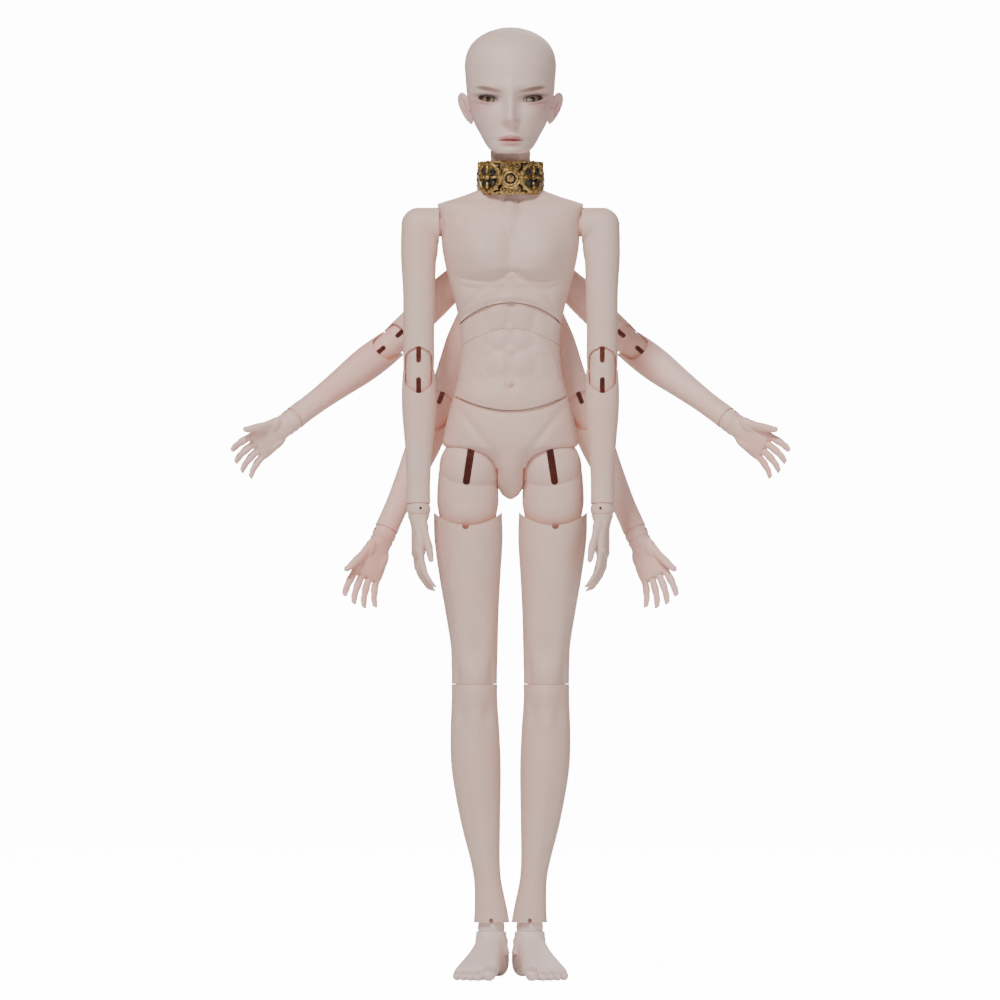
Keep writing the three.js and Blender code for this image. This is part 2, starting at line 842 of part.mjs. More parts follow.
const calfShares = [
  [0, 0.72, 0.6, -0.685, -0.02], [0.05, 0.66, 0.58, -0.66, 0], [0.2, 0.55, 0.56, -0.5, 0.06],
  [0.42, 0.79, 0.76, -0.24, 0.12], [0.64, 0.98, 0.98, -0.07, 0.1], [0.8, 0.98, 0.97, -0.02, 0.06],
  [0.93, 0.92, 0.9, 0, 0], [1, 0.92, 0.88, 0, 0],
];
function calfSolid() {
  const kneeLow = leg.kneeUpperHeight - leg.kneeSpan;
  const top = leg.kneeSpan - leg.kneeCrease - seatGap;
  const ankle = vec(leg.ankleX - leg.kneeX, 0, leg.ankleHeight - kneeLow);
  const room = hingeRoom({
    radius: leg.kneeBallRadius,
    span: leg.kneeSpan,
    lobe: leg.kneeSpan - leg.kneeCrease,
    flex: kneeFlexMost,
    facing: 1,
    way: 1,
  });
  const pinhole = bar(
    vec(ankle.x, -leg.calfHalfDepth, leg.cuffHeight - kneeLow),
    vec(ankle.x, 0, leg.cuffHeight - kneeLow),
    arm.pinholeRadius + seatGap,
    boreSides,
  );
  return loft(calfShares, {
    x: 0,
    y: 0,
    bottom: leg.cuffHeight - kneeLow,
    height: kneeLow + top - leg.cuffHeight,
    halfWidth: leg.calfHalfWidth,
    halfDepth: leg.calfHalfDepth,
  })
    .subtract(room)
    .subtract(socketBall(ankle, leg.ankleRadius))
    .subtract(bar(ankle, vec(0, 0, 0), leg.boreRadius))
    .subtract(pinhole);
}

function ankleSolid() {
  const radius = leg.ankleRadius;
  return ball(vec(0, 0, 0), evenly(radius))
    .subtract(bar(vec(0, 0, -2 * radius), vec(0, 0, 2 * radius), arm.boreRadius));
}

// Foot: heel to toes along -Y, big toe on the inner side, sole flat on the ground
const footShares = [
  [0, 0.45, 0.3, 0.16], [0.04, 0.82, 0.62, 0], [0.14, 1, 0.95, 0], [0.25, 1.02, 1, 0],
  [0.38, 1.02, 0.92, 0], [0.55, 1.16, 0.68, 0], [0.74, 1.4, 0.46, 0], [0.9, 1.5, 0.32, 0],
  [0.95, 1.42, 0.26, 0],
];
const toeShares = [
  [-0.72, 0.94, 1.22], [-0.25, 0.965, 0.86], [0.12, 0.945, 0.84], [0.47, 0.92, 0.82],
  [0.8, 0.885, 0.8],
];
const toeFormShares = { wide: 0.86, long: 1.7, lift: 0.9 };
const footCornerShare = 0.8;
const footNeckShare = 1.1;
function footSolid() {
  const sole = -leg.ankleHeight;
  const sides = limbSides;
  const rings = footShares.map(([along, wide, high, lift]) => {
    const y = foot.heelBack - along * foot.soleLength;
    const half = (high * foot.instepHeight + overrun / 2) / 2;
    const middle = sole + lift * foot.instepHeight + half - overrun / 2;
    return Array.from({ length: sides }, (_, i) => {
      const turn = (2 * Math.PI * (i + 0.5)) / sides;
      const across = spike(Math.cos(turn), footCornerShare) * wide * foot.heelHalfWidth;
      return vec(across, y, middle + half * spike(Math.sin(turn), footCornerShare));
    });
  });
  const neckLow = vec(0, 0, sole + foot.instepHeight / 2);
  const neckHigh = vec(0, 0, sole + foot.instepHeight);
  let solid = skinOver(rings).add(barAlong(
    [neckLow, neckHigh],
    [foot.heelHalfWidth * footNeckShare, foot.heelHalfWidth],
    limbSides,
  ));
  for (const [across, along, size] of toeShares) {
    const radius = foot.toeRadius * size;
    const place = vec(
      (across * foot.width) / 2,
      foot.heelBack - along * foot.soleLength,
      sole + radius * toeFormShares.lift,
    );
    const form = vec(radius * toeFormShares.wide, radius * toeFormShares.long, radius);
    solid = solid.add(ball(place, form, boreSides));
  }
  const ground = block(
    vec(-foot.soleLength, -foot.soleLength, sole - foot.instepHeight),
    vec(foot.soleLength, foot.soleLength, sole),
  );
  return turned(
    solid.subtract(ground).subtract(socketBall(vec(0, 0, 0), leg.ankleRadius)),
    vec(0, 0, 0),
    0,
    0,
    foot.splay,
  );
}

// Head: rows of height, half width, half depth and shift back, as shares of the head
const headHeight = head.crownHeight - head.chinHeight;
const headRows = [
  [0, 0.3, 0.2, -0.66], [0.035, 0.5, 0.5, -0.42], [0.08, 0.565, 0.64, -0.28],
  [0.15, 0.66, 0.74, -0.18], [0.24, 0.79, 0.83, -0.1], [0.34, 0.88, 0.92, -0.03],
  [0.46, 0.95, 0.97, 0.01], [0.6, 0.99, 1, 0.01], [0.72, 1, 0.98, 0.02], [0.82, 0.93, 0.88, 0.03],
  [0.9, 0.77, 0.7, 0.04], [0.96, 0.51, 0.45, 0.04], [0.99, 0.25, 0.23, 0.04], [1, 0.1, 0.09, 0.04],
];
const headForm = new THREE.CubicInterpolant(
  headRows.map((row) => row[0]),
  headRows.flatMap((row) => row.slice(1)),
  3,
);
const headRingShares = [
  0, 0.045, 0.08, 0.105, 0.13, 0.17, 0.215, 0.26, 0.31, 0.38, 0.44, 0.51, 0.6, 0.72, 0.84, 0.94,
  1,
];
// Relief of the face: place across and up, spread across and up, and how far it stands out
const faceShares = [
  [0, 0.45, 0.1, 0.1, 0.05], [0, 0.35, 0.1, 0.07, 0.1], [0, 0.26, 0.13, 0.032, 0.15],
  [0.42, 0.52, 0.28, 0.035, 0.03], [-0.42, 0.52, 0.28, 0.035, 0.03],
  [0.5, 0.425, 0.22, 0.05, -0.055], [-0.5, 0.425, 0.22, 0.05, -0.055],
  [0, 0.128, 0.2, 0.018, 0.05], [0, 0.082, 0.17, 0.018, 0.045], [0, 0.02, 0.24, 0.03, 0.05],
  [0.6, 0.29, 0.22, 0.07, 0.03], [-0.6, 0.29, 0.22, 0.07, 0.03],
];
const bell = (distance, spread) => Math.exp(-((distance / spread) ** 2) / 2);

function headSkin(inset, sides, ringShares, withFace) {
  const wide = head.width / 2;
  const deep = head.depth / 2;
  return skinOver(ringShares.map((up) => {
    const [w, d, back] = headForm.evaluate(up);
    return Array.from({ length: sides }, (_, i) => {
      const even = (2 * Math.PI * (i + 0.5)) / sides;
      const turn = even - frontCrowdingShare * Math.cos(even);
      const x = (w * wide - inset) * Math.cos(turn);
      const y = back * deep + (d * deep - inset) * Math.sin(turn);
      const front = Math.max(0, -Math.sin(turn)) ** 2;
      const relief = withFace ? faceShares.reduce((sum, [fx, fz, sx, sz, out]) => (
        sum + out * bell(x / wide - fx, sx) * bell(up - fz, sz)), 0) : 0;
      return vec(x, y - relief * front * deep, head.chinHeight + up * headHeight);
    });
  }));
}
const frontCrowdingShare = 0.32;
const earRootShare = 0.8;
const headInnerShares = [0.2, 0.32, 0.5, 0.7, 0.86, 0.955];
const headSides = 20;
const dishRoomShare = 0.72;

const neckPlace = vec(0, 0, neck.ballHeight);
const eyePlace = (side) => vec((side * eye.spacing) / 2, eye.centreY, eye.height);

function headShell() {
  const floorRadius = neck.ballRadius + head.floor;
  const inner = headSkin(head.wall, limbSides + 2, headInnerShares, false);
  let shell = headSkin(0, headSides, headRingShares, true);
  for (const side of [-1, 1]) {
    const root = vec((side * head.width * earRootShare) / 2, head.wall, ear.height);
    const lobe = ball(root, vec(ear.thickness / 2, ear.depth / 2, ear.lobeHeight / 2), limbSides);
    const hinge = vec(root.x, root.y, root.z - ear.lobeHeight / 2);
    shell = shell.add(turned(lobe, hinge, 0, side * ear.flare, 0));
  }
  const far = 2 * head.width;
  const dishRoom = ball(neckPlace, evenly(floorRadius + 2 * hook.dishThickness)).intersect(block(
    vec(-far, -far, neck.ballHeight + floorRadius * dishRoomShare),
    vec(far, far, neck.ballHeight + far),
  ));
  shell = shell.subtract(inner.add(dishRoom).subtract(ball(neckPlace, evenly(floorRadius))));
  shell = shell
    .subtract(socketBall(neckPlace, neck.ballRadius))
    .subtract(bar(
      neckPlace,
      vec(0, 0, neck.ballHeight + 2 * neck.ballRadius),
      head.shankRoom,
      limbSides,
    ));
  for (const side of [-1, 1]) {
    const place = eyePlace(side);
    shell = shell.subtract(socketBall(place, eye.radius)).subtract(ball(
      vec(place.x, place.y - eye.radius, place.z),
      vec(eye.openingWidth / 2, 2 * eye.radius, eye.openingHeight / 2),
      limbSides,
    ));
  }
  return shell;
}

// The half of space above the cap's seam, which slopes down towards the back
function aboveCapSeam(lift) {
  const far = 2 * head.depth;
  const half = block(
    vec(-far, -far, head.capSeamHeight + lift),
    vec(far, far, head.capSeamHeight + far),
  );
  return turned(half, vec(0, 0, head.capSeamHeight), -head.capTilt, 0, 0);
}
const headFaceSolid = () => headShell().subtract(aboveCapSeam(0));
const headCapSolid = () => headShell().intersect(aboveCapSeam(seatGap));

const eyeSolid = (side) => ball(eyePlace(side), evenly(eye.radius), limbSides + 2);

// Hook: a dished button on the floor of the head and a shank down the neck to a ring
function hookSolid() {
  const floorRadius = clearOf(neck.ballRadius + head.floor);
  const seat = neck.ballHeight + Math.sqrt(floorRadius ** 2 - hook.dishRadius ** 2);
  const ringPlace = vec(0, 0, neck.ballHeight + neck.ballRadius - hook.shank);
  const ringRadius = 2 * hook.wire;
  const ring = new THREE.TorusGeometry(ringRadius, hook.wire, boreSides, limbSides);
  ring.rotateX(Math.PI / 2);
  ring.translate(ringPlace.x, ringPlace.y, ringPlace.z);
  const button = bar(
    vec(0, 0, seat),
    vec(0, 0, neck.ballHeight + floorRadius + hook.dishThickness),
    hook.dishRadius,
    limbSides,
  ).subtract(ball(neckPlace, evenly(floorRadius)));
  const shank = bar(
    vec(0, 0, ringPlace.z + ringRadius),
    vec(0, 0, neck.ballHeight + floorRadius + hook.dishThickness / 2),
    hook.wire,
  );
  return button.add(shank).add(solidOf(ring));
}

// Collar: a scalloped band with round medallions, fitted over the slope of the shoulders
const dishShare = 0.78;
const studShare = 0.42;
const medallionSides = 8;
function collarSolid() {
  const sides = 2 * collar.scallops;
  const high = collar.topHeight;
  const low = collar.bottomHeight;
  const outer = collar.innerRadius + collar.thickness;
  const ringAt = (radius, height, dip) => Array.from({ length: sides }, (_, i) => {
    const turn = (2 * Math.PI * i) / sides;
    const step = i % 2 === 0 ? 0 : dip;
    return vec(radius * Math.cos(turn), radius * Math.sin(turn), height + step);
  });
  const band = skinOver([
    ringAt(outer, low, collar.scallopDepth),
    ringAt(outer, high, -collar.scallopDepth),
  ]);
  const opening = bar(
    vec(0, 0, low - overrun),
    vec(0, 0, high + overrun),
    collar.innerRadius,
    sides,
  );
  let ring = band.subtract(opening);
  const middle = (low + high) / 2;
  const medallions = 8;
  for (let i = 0; i < medallions; i += 1) {
    const angle = (2 * Math.PI * i) / medallions - Math.PI / 2;
    const out = vec(Math.cos(angle), Math.sin(angle), 0);
    const face = out.clone().multiplyScalar(outer + collar.rosetteRise).setZ(middle);
    const root = out.clone().multiplyScalar(outer - collar.rosetteDepth).setZ(middle);
    const step = out.clone().multiplyScalar(outer + collar.rosetteRise / 2).setZ(middle);
    const deep = out.clone().multiplyScalar(outer + 2 * collar.rosetteRise).setZ(middle);
    const radius = i % 2 === 0 ? collar.rosetteRadius : collar.largeRosetteRadius;
    ring = ring
      .add(bar(root, face, radius, medallionSides))
      .subtract(bar(step, deep, radius * dishShare, boreSides))
      .add(bar(root, face, radius * studShare, boreSides));
  }
  const clearSkin = loft(torsoShares, {
    x: 0,
    y: 0,
    bottom: torso.crotchHeight + 2 * seatGap,
    height: torsoHeight,
    halfWidth: torso.hipWidth / 2 + seatGap,
    halfDepth: torso.hipDepth / 2 + seatGap,
    power: torsoCornerShare,
  }, torsoSides);
  return ring.subtract(clearSkin);
}

// Assembly: a group for each joint, placed in the group of what carries it
const doll = new THREE.Group();

function meshOf(name, geometry, material) {
  const mesh = new THREE.Mesh(geometry, material);
  mesh.name = name;
  return mesh;
}

function jointGroup(parent, name, place, turn) {
  const group = new THREE.Group();
  group.name = name;
  group.position.copy(place);
  if (turn) group.quaternion.copy(turn);
  parent.add(group);
  return group;
}

const bodySides = { left: 1, right: -1 };
const sideVec = (side, x, y, z) => vec(side * x, y, z);
const sideTurn = (side, turn) => new THREE.Quaternion(turn.x, side * turn.y, side * turn.z, turn.w);
const sideGeometry = (side, geometry) => (side > 0 ? geometry : mirrored(geometry));
const aboutX = (angle) => new THREE.Quaternion().setFromAxisAngle(vec(1, 0, 0), angle);

const still = vec(0, 0, 0);
doll.add(meshOf('pelvis', geometryOf(pelvisSolid()), resin));
const waistJoint = jointGroup(doll, 'waist_bend', still);
waistJoint.add(meshOf('belly', geometryOf(bellySolid()), resin));
const twistJoint = jointGroup(waistJoint, 'torso_twist', still);
twistJoint.add(meshOf('abdomen', geometryOf(abdomenSolid()), resin));
const chestJoint = jointGroup(twistJoint, 'chest_bend', still);
chestJoint.add(meshOf('chest', geometryOf(chestSolid()), resin));
chestJoint.add(meshOf('collar', geometryOf(collarSolid()), gold));
const turnJoint = jointGroup(chestJoint, 'head_turn', still);
turnJoint.add(meshOf('neck_hook', geometryOf(hookSolid()), steel));
const nodJoint = jointGroup(turnJoint, 'head_nod', still);
nodJoint.add(meshOf('head_face', geometryOf(headFaceSolid()), resin));
nodJoint.add(meshOf('eye_left', geometryOf(eyeSolid(1)), glass));
nodJoint.add(meshOf('eye_right', geometryOf(eyeSolid(-1)), glass));
const capJoint = jointGroup(nodJoint, 'cap_lift', still);
capJoint.add(meshOf('head_cap', geometryOf(headCapSolid()), resin));

const sharedArm = {
  elbow: geometryOf(elbowSolid()),
  forearm: geometryOf(foreArmSolid()),
  wrist: geometryOf(wristSolid()),
  hand: geometryOf(handSolid()),
};
const upperArms = {
  front: geometryOf(frontUpperArmSolid()),
  rear: geometryOf(rearUpperArmSolid()),
};

// How an arm rests: its shoulder turn, its elbow's fold and its palm's turn
function restOf(pair) {
  const place = ({ x, y, z }) => vec(x, y, z);
  const upper = place(pair.elbow).sub(place(pair.shoulder)).normalize();
  const fore = place(pair.wrist).sub(place(pair.elbow)).normalize();
  const up = upper.clone().negate();
  const right = fore.clone().cross(upper).normalize();
  const back = up.clone().cross(right);
  const basis = new THREE.Matrix4().makeBasis(right, back, up);
  return {
    turn: new THREE.Quaternion().setFromRotationMatrix(basis),
    fold: upper.angleTo(fore) / 2,
    palm: rad(arm.rearPalmTurn),
  };
}

function addArm(side, label, place, rest, upperGeometry, upperLength) {
  const upper = jointGroup(chestJoint, `shoulder_${label}`, place, sideTurn(side, rest.turn));
  upper.add(meshOf(`upper_arm_${label}`, sideGeometry(side, upperGeometry), resin));
  const fold = aboutX(-rest.fold);
  const high = jointGroup(upper, `elbow_upper_${label}`, vec(0, 0, -upperLength), fold);
  high.add(meshOf(`elbow_${label}`, sideGeometry(side, sharedArm.elbow), resin));
  const low = jointGroup(high, `elbow_lower_${label}`, vec(0, 0, -arm.elbowSpan), fold);
  low.add(meshOf(`forearm_${label}`, sideGeometry(side, sharedArm.forearm), resin));
  const palmTurn = new THREE.Quaternion().setFromAxisAngle(vec(0, 0, -side), rest.palm);
  const wrist = jointGroup(low, `wrist_turn_${label}`, vec(0, 0, -arm.foreLength), palmTurn);
  wrist.add(meshOf(`wrist_${label}`, sideGeometry(side, sharedArm.wrist), resin));
  const palm = jointGroup(wrist, `wrist_bend_${label}`, still);
  palm.add(meshOf(`hand_${label}`, sideGeometry(side, sharedArm.hand), resin));
}

const frontRest = {
  turn: aboutX(-rad(arm.frontSwing)),
  fold: 0,
  palm: rad(arm.frontPalmTurn),
};
for (const [sideName, side] of Object.entries(bodySides)) {
  const frontPlace = sideVec(side, shoulder.frontX, 0, shoulder.frontHeight);
  addArm(side, `front_${sideName}`, frontPlace, frontRest, upperArms.front, arm.frontUpperLength);
  for (const [pairName, pair] of Object.entries(rearArms)) {
    const place = sideVec(side, pair.shoulder.x, pair.shoulder.y, pair.shoulder.z);
    const label = `${pairName}_${sideName}`;
    addArm(side, label, place, restOf(pair), upperArms.rear, arm.rearUpperLength);
  }
}

const legGeometry = {
  hip: geometryOf(hipSolid()),
  thigh: geometryOf(thighSolid()),
  knee: geometryOf(kneeSolid()),
  calf: geometryOf(calfSolid()),
  ankle: geometryOf(ankleSolid()),
  foot: geometryOf(footSolid()),
};
for (const [sideName, side] of Object.entries(bodySides)) {
  const add = (parent, joint, x, z, name, geometry) => {
    const group = jointGroup(parent, `${joint}_${sideName}`, sideVec(side, x, 0, z));
    group.add(meshOf(`${name}_${sideName}`, sideGeometry(side, geometry), resin));
    return group;
  };
  const { hip, thigh, knee, calf, ankle, foot: sole } = legGeometry;
  const kneeX = leg.kneeX - leg.axisX;
  const kneeZ = leg.kneeUpperHeight - leg.rimHeight;
  const ankleZ = leg.ankleHeight - leg.kneeUpperHeight + leg.kneeSpan;
  const hipJoint = add(doll, 'hip_bend', leg.hipAxisX, leg.hipHeight, 'hip', hip);
  const swivel = add(
    hipJoint,
    'thigh_turn',
    leg.axisX - leg.hipAxisX,
    leg.rimHeight - leg.hipHeight,
    'thigh',
    thigh,
  );
  const kneeHigh = add(swivel, 'knee_upper', kneeX, kneeZ, 'knee', knee);
  const kneeLow = add(kneeHigh, 'knee_lower', 0, -leg.kneeSpan, 'calf', calf);
  const tilt = add(kneeLow, 'ankle_turn', leg.ankleX - leg.kneeX, ankleZ, 'ankle', ankle);
  add(tilt, 'ankle_bend', 0, 0, 'foot', sole);
}

// The origin lies under the middle of the figure, front to back
const extent = new THREE.Box3().setFromObject(doll);
doll.position.y = -(extent.min.y + extent.max.y) / 2;

export default doll;
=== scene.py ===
"""Six-armed ball jointed doll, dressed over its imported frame.

Lengths are written in millimetres and turned into metres with MM.
The doll stands with its front towards -Y, and its left side is +X.
"""
from __future__ import annotations

import json
import logging
import math
import sys
from dataclasses import dataclass, field
from enum import Enum
from typing import Callable, Sequence

import bpy
from mathutils import Matrix, Vector

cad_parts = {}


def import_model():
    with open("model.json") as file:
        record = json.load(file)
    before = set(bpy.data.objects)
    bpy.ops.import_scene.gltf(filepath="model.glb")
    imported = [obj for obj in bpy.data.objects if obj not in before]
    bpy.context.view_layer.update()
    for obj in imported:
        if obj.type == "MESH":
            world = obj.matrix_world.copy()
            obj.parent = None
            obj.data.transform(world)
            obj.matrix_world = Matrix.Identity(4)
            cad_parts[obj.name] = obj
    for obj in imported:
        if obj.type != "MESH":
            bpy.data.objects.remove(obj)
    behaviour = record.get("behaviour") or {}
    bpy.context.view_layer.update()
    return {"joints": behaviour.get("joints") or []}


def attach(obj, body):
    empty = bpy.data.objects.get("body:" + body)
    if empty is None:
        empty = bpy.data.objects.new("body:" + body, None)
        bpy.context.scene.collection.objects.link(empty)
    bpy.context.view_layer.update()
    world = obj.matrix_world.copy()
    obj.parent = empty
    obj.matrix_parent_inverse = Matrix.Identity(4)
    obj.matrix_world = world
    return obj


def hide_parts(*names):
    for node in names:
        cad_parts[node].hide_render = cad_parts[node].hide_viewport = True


LOG = logging.getLogger("doll")
MM = 0.001
SMOOTH_ANGLE = math.radians(38)
Row = Sequence[float]
Shape = Callable[[float, float], Vector]
Piece = bpy.types.Object
Material = bpy.types.Material
Tree = bpy.types.NodeTree
Socket = bpy.types.NodeSocket


class Side(Enum):
    """The doll's own left or right, with the sign of its X."""

    LEFT = ("left", 1)
    RIGHT = ("right", -1)

    @property
    def label(self) -> str:
        """The word that ends the side's node names."""
        return self.value[0]

    @property
    def sign(self) -> int:
        """The sign of X on this side."""
        return self.value[1]


class ArmPair(Enum):
    """The three pairs of arms."""

    FRONT = "front"
    UPPER = "upper"
    LOWER = "lower"


def bell(distance: float, spread: float) -> float:
    """Gives a rounded bump that is 1 at no distance and fades over the spread.

    Args:
        distance: how far from the middle of the bump.
        spread: the distance at which it has faded to 0.6.

    Returns:
        The height of the bump, from 0 to 1.
    """
    return math.exp(-((distance / spread) ** 2) / 2)


def along(rows: Sequence[Row], at: float) -> list[float]:
    """Reads smooth values between rows whose first entry is their station.

    Args:
        rows: rows of station and values, in rising order of station.
        at: the station to read.

    Returns:
        The values there, on a smooth curve through the rows.
    """
    last = len(rows) - 1
    low = 0
    while low < last - 1 and at > rows[low + 1][0]:
        low += 1
    a, b = rows[low], rows[low + 1]
    step = b[0] - a[0]
    t = min(max((at - a[0]) / step, 0.0), 1.0)
    before = rows[max(low - 1, 0)]
    after = rows[min(low + 2, last)]
    values = []
    for k in range(1, len(a)):
        slope_a = (b[k] - before[k]) / max(b[0] - before[0], 1e-9) * step
        slope_b = (after[k] - a[k]) / max(after[0] - a[0], 1e-9) * step
        values.append(
            (2 * t**3 - 3 * t**2 + 1) * a[k]
            + (t**3 - 2 * t**2 + t) * slope_a
            + (-2 * t**3 + 3 * t**2) * b[k]
            + (t**3 - t**2) * slope_b
        )
    return values


def boxy(value: float, power: float) -> float:
    """Raises a cosine or sine to a power and keeps its sign, for a boxier outline."""
    return math.copysign(abs(value) ** power, value)


class Bench:
    """Modelling steps that every piece shares."""

    @staticmethod
    def clear() -> None:
        """Leaves edit mode and deselects everything."""
        if bpy.context.object and bpy.context.object.mode != "OBJECT":
            bpy.ops.object.mode_set(mode="OBJECT")
        bpy.ops.object.select_all(action="DESELECT")

    @staticmethod
    def only(piece: Piece) -> None:
        """Selects one piece and makes it active."""
        Bench.clear()
        piece.select_set(True)
        bpy.context.view_layer.objects.active = piece

    @staticmethod
    def take(name: str, material: Material | None) -> Piece:
        """Names the primitive that was just added and gives it its material.

        Args:
            name: the piece's name.
            material: its material, if it has one yet.

        Returns:
            The piece.
        """
        piece = bpy.context.object
        piece.name = name
        piece.data.name = name
        if material:
            piece.data.materials.append(material)
        return piece

    @staticmethod
    def bake(piece: Piece) -> Piece:
        """Moves a piece's place into its mesh, so that its object sits at the origin."""
        Bench.only(piece)
        bpy.ops.object.transform_apply(location=True, rotation=True, scale=True)
        return piece

    @staticmethod
    def shaped(name: str, shape: Shape, material: Material | None, segments: int = 48, rings: int = 48) -> Piece:
        """Makes a closed form from a round primitive whose points a function places.

        Args:
            name: the piece's name.
            shape: gives a point in millimetres for a share of the way up and a turn.
            material: the piece's material.
            segments: how many points go round.
            rings: how many rows go up.

        Returns:
            The piece, at the origin.
        """
        Bench.clear()
        bpy.ops.mesh.primitive_uv_sphere_add(segments=segments, ring_count=rings, radius=1)
        piece = Bench.take(name, material)
        for vertex in piece.data.vertices:
            up = 1 - math.acos(max(-1.0, min(1.0, vertex.co.z))) / math.pi
            turn = math.atan2(vertex.co.y, vertex.co.x)
            vertex.co = shape(up, turn) * MM
        return piece

    @staticmethod
    def ball(
        place: Vector,
        size: Vector | float,
        material: Material | None = None,
        segments: int = 48,
        name: str = "ball",
    ) -> Piece:
        """Makes a ball or an egg shape.

        Args:
            place: its centre in millimetres.
            size: its radius, or its three half sizes.
            material: its material.
            segments: how many points go round.
            name: its name.

        Returns:
            The ball, with its place in its mesh.
        """
        half = Vector((size, size, size)) if isinstance(size, (int, float)) else size
        Bench.clear()
        bpy.ops.mesh.primitive_uv_sphere_add(
            segments=segments, ring_count=segments // 2, radius=1, location=place * MM
        )
        piece = Bench.take(name, material)
        piece.scale = half * MM
        return Bench.bake(piece)

    @staticmethod
    def rod(
        start: Vector,
        end: Vector,
        radius: float,
        material: Material | None = None,
        vertices: int = 32,
        name: str = "rod",
    ) -> Piece:
        """Makes a round rod between two points.

        Args:
            start: one end in millimetres.
            end: the other end.
            radius: its radius.
            material: its material.
            vertices: how many points go round.
            name: its name.

        Returns:
            The rod, with its place in its mesh.
        """
        way = end - start
        Bench.clear()
        bpy.ops.mesh.primitive_cylinder_add(
            vertices=vertices,
            radius=radius * MM,
            depth=way.length * MM,
            location=(start + end) / 2 * MM,
            rotation=Vector((0, 0, 1)).rotation_difference(way).to_euler(),
        )
        return Bench.bake(Bench.take(name, material))

    @staticmethod
    def block(low: Vector, high: Vector, material: Material | None = None) -> Piece:
        """Makes a box between two corners in millimetres."""
        Bench.clear()
        bpy.ops.mesh.primitive_cube_add(size=1, location=(low + high) / 2 * MM)
        piece = Bench.take("block", material)
        piece.scale = (high - low) * MM
        return Bench.bake(piece)

    @staticmethod
    def ring(
        place: Vector,
        facing: Vector,
        radius: float,
        wire: float,
        material: Material,
        segments: int = 40,
    ) -> Piece:
        """Makes a round ring of wire that faces a given way, sizes in millimetres."""
        Bench.clear()
        bpy.ops.mesh.primitive_torus_add(
            major_radius=radius * MM,
            minor_radius=wire * MM,
            major_segments=segments,
            minor_segments=10,
            location=place * MM,
            rotation=Vector((0, 0, 1)).rotation_difference(facing).to_euler(),
        )
        return Bench.bake(Bench.take("ring", material))

    @staticmethod
    def slot(
        middle: Vector,
        width: float,
        length: float,
        depth: float,
        tilt: float,
        facing: int,
        material: Material,
    ) -> Piece:
        """Makes the cutter for a slot with rounded ends, open to the front or back.

        Args:
            middle: the middle of the slot on the limb's axis, in millimetres.
            width: the slot's width.
            length: its length up the limb.
            depth: how far it reaches from the axis.
            tilt: how far it leans, in degrees.
            facing: -1 for the front, 1 for the back.
            material: what the walls of the slot are dressed in.

        Returns:
            The cutter, with its place in its mesh.
        """
        Bench.clear()
        bpy.ops.mesh.primitive_cylinder_add(
            vertices=24, radius=width / 2 * MM, depth=depth * MM, rotation=(math.pi / 2, 0, 0)
        )
        piece = Bench.bake(Bench.take("slot", material))
        run = (length - width) / 2 * MM
        for vertex in piece.data.vertices:
            vertex.co.z += run if vertex.co.z > 0 else -run
        piece.rotation_euler.y = math.radians(tilt)
        piece.location = (middle + Vector((0, facing * depth / 2, 0))) * MM
        return Bench.bake(piece)

    @staticmethod
    def slab(
        height: Callable[[float, float], float],
        half: tuple[float, float],
        bottom: float,
        material: Material,
        steps: tuple[int, int] = (64, 12),
    ) -> Piece:
        """Makes a solid that fills all below a curved sheet.

        Args:
            height: gives the sheet's height in millimetres at a place across and back.
            half: half of its size across and from front to back.
            bottom: the height of its flat bottom.
            material: what the surface it leaves is dressed in.
            steps: how finely the sheet is divided.

        Returns:
            The solid.
        """
        Bench.clear()
        bpy.ops.mesh.primitive_grid_add(x_subdivisions=steps[0], y_subdivisions=steps[1], size=2)
        sheet = Bench.take("slab", material)
        bpy.ops.object.mode_set(mode="EDIT")
        bpy.ops.mesh.select_all(action="SELECT")
        bpy.ops.mesh.extrude_region_move(TRANSFORM_OT_translate={"value": (0, 0, -1)})
        bpy.ops.mesh.select_all(action="SELECT")
        bpy.ops.mesh.normals_make_consistent(inside=False)
        bpy.ops.object.mode_set(mode="OBJECT")
        for vertex in sheet.data.vertices:
            x, y = vertex.co.x * half[0], vertex.co.y * half[1]
            z = height(x, y) if vertex.co.z > -0.5 else bottom
            vertex.co = Vector((x, y, z)) * MM
        return sheet

    @staticmethod
    def combine(piece: Piece, tool: Piece, operation: str) -> Piece:
        """Joins, cuts or keeps a piece with a tool, and removes the tool.

        Args:
            piece: what is changed.
            tool: what it is joined to, cut by or kept inside.
            operation: UNION, DIFFERENCE or INTERSECT.

        Returns:
            The changed piece.
        """
        Bench.only(piece)
        modifier = piece.modifiers.new("shape", "BOOLEAN")
        modifier.operation = operation
        modifier.solver = "EXACT"
        modifier.object = tool
        modifier.material_mode = "TRANSFER"
        bpy.ops.object.modifier_apply(modifier=modifier.name)
        bpy.data.objects.remove(tool, do_unlink=True)
        return piece

    @staticmethod
    def add(piece: Piece, *tools: Piece) -> Piece:
        """Joins tools onto a piece."""
        for tool in tools:
            Bench.combine(piece, tool, "UNION")
        return piece

    @staticmethod
    def cut(piece: Piece, *tools: Piece) -> Piece:
        """Cuts a piece with tools."""
        for tool in tools:
            Bench.combine(piece, tool, "DIFFERENCE")
        return piece

    @staticmethod
    def keep(piece: Piece, tool: Piece) -> Piece:
        """Keeps only what lies inside a tool."""
        return Bench.combine(piece, tool, "INTERSECT")

    @staticmethod
    def copy(piece: Piece, name: str) -> Piece:
        """Copies a piece with a mesh of its own."""
        twin = piece.copy()
        twin.data = piece.data.copy()
        twin.name = name
        twin.data.name = name
        bpy.context.scene.collection.objects.link(twin)
        return twin

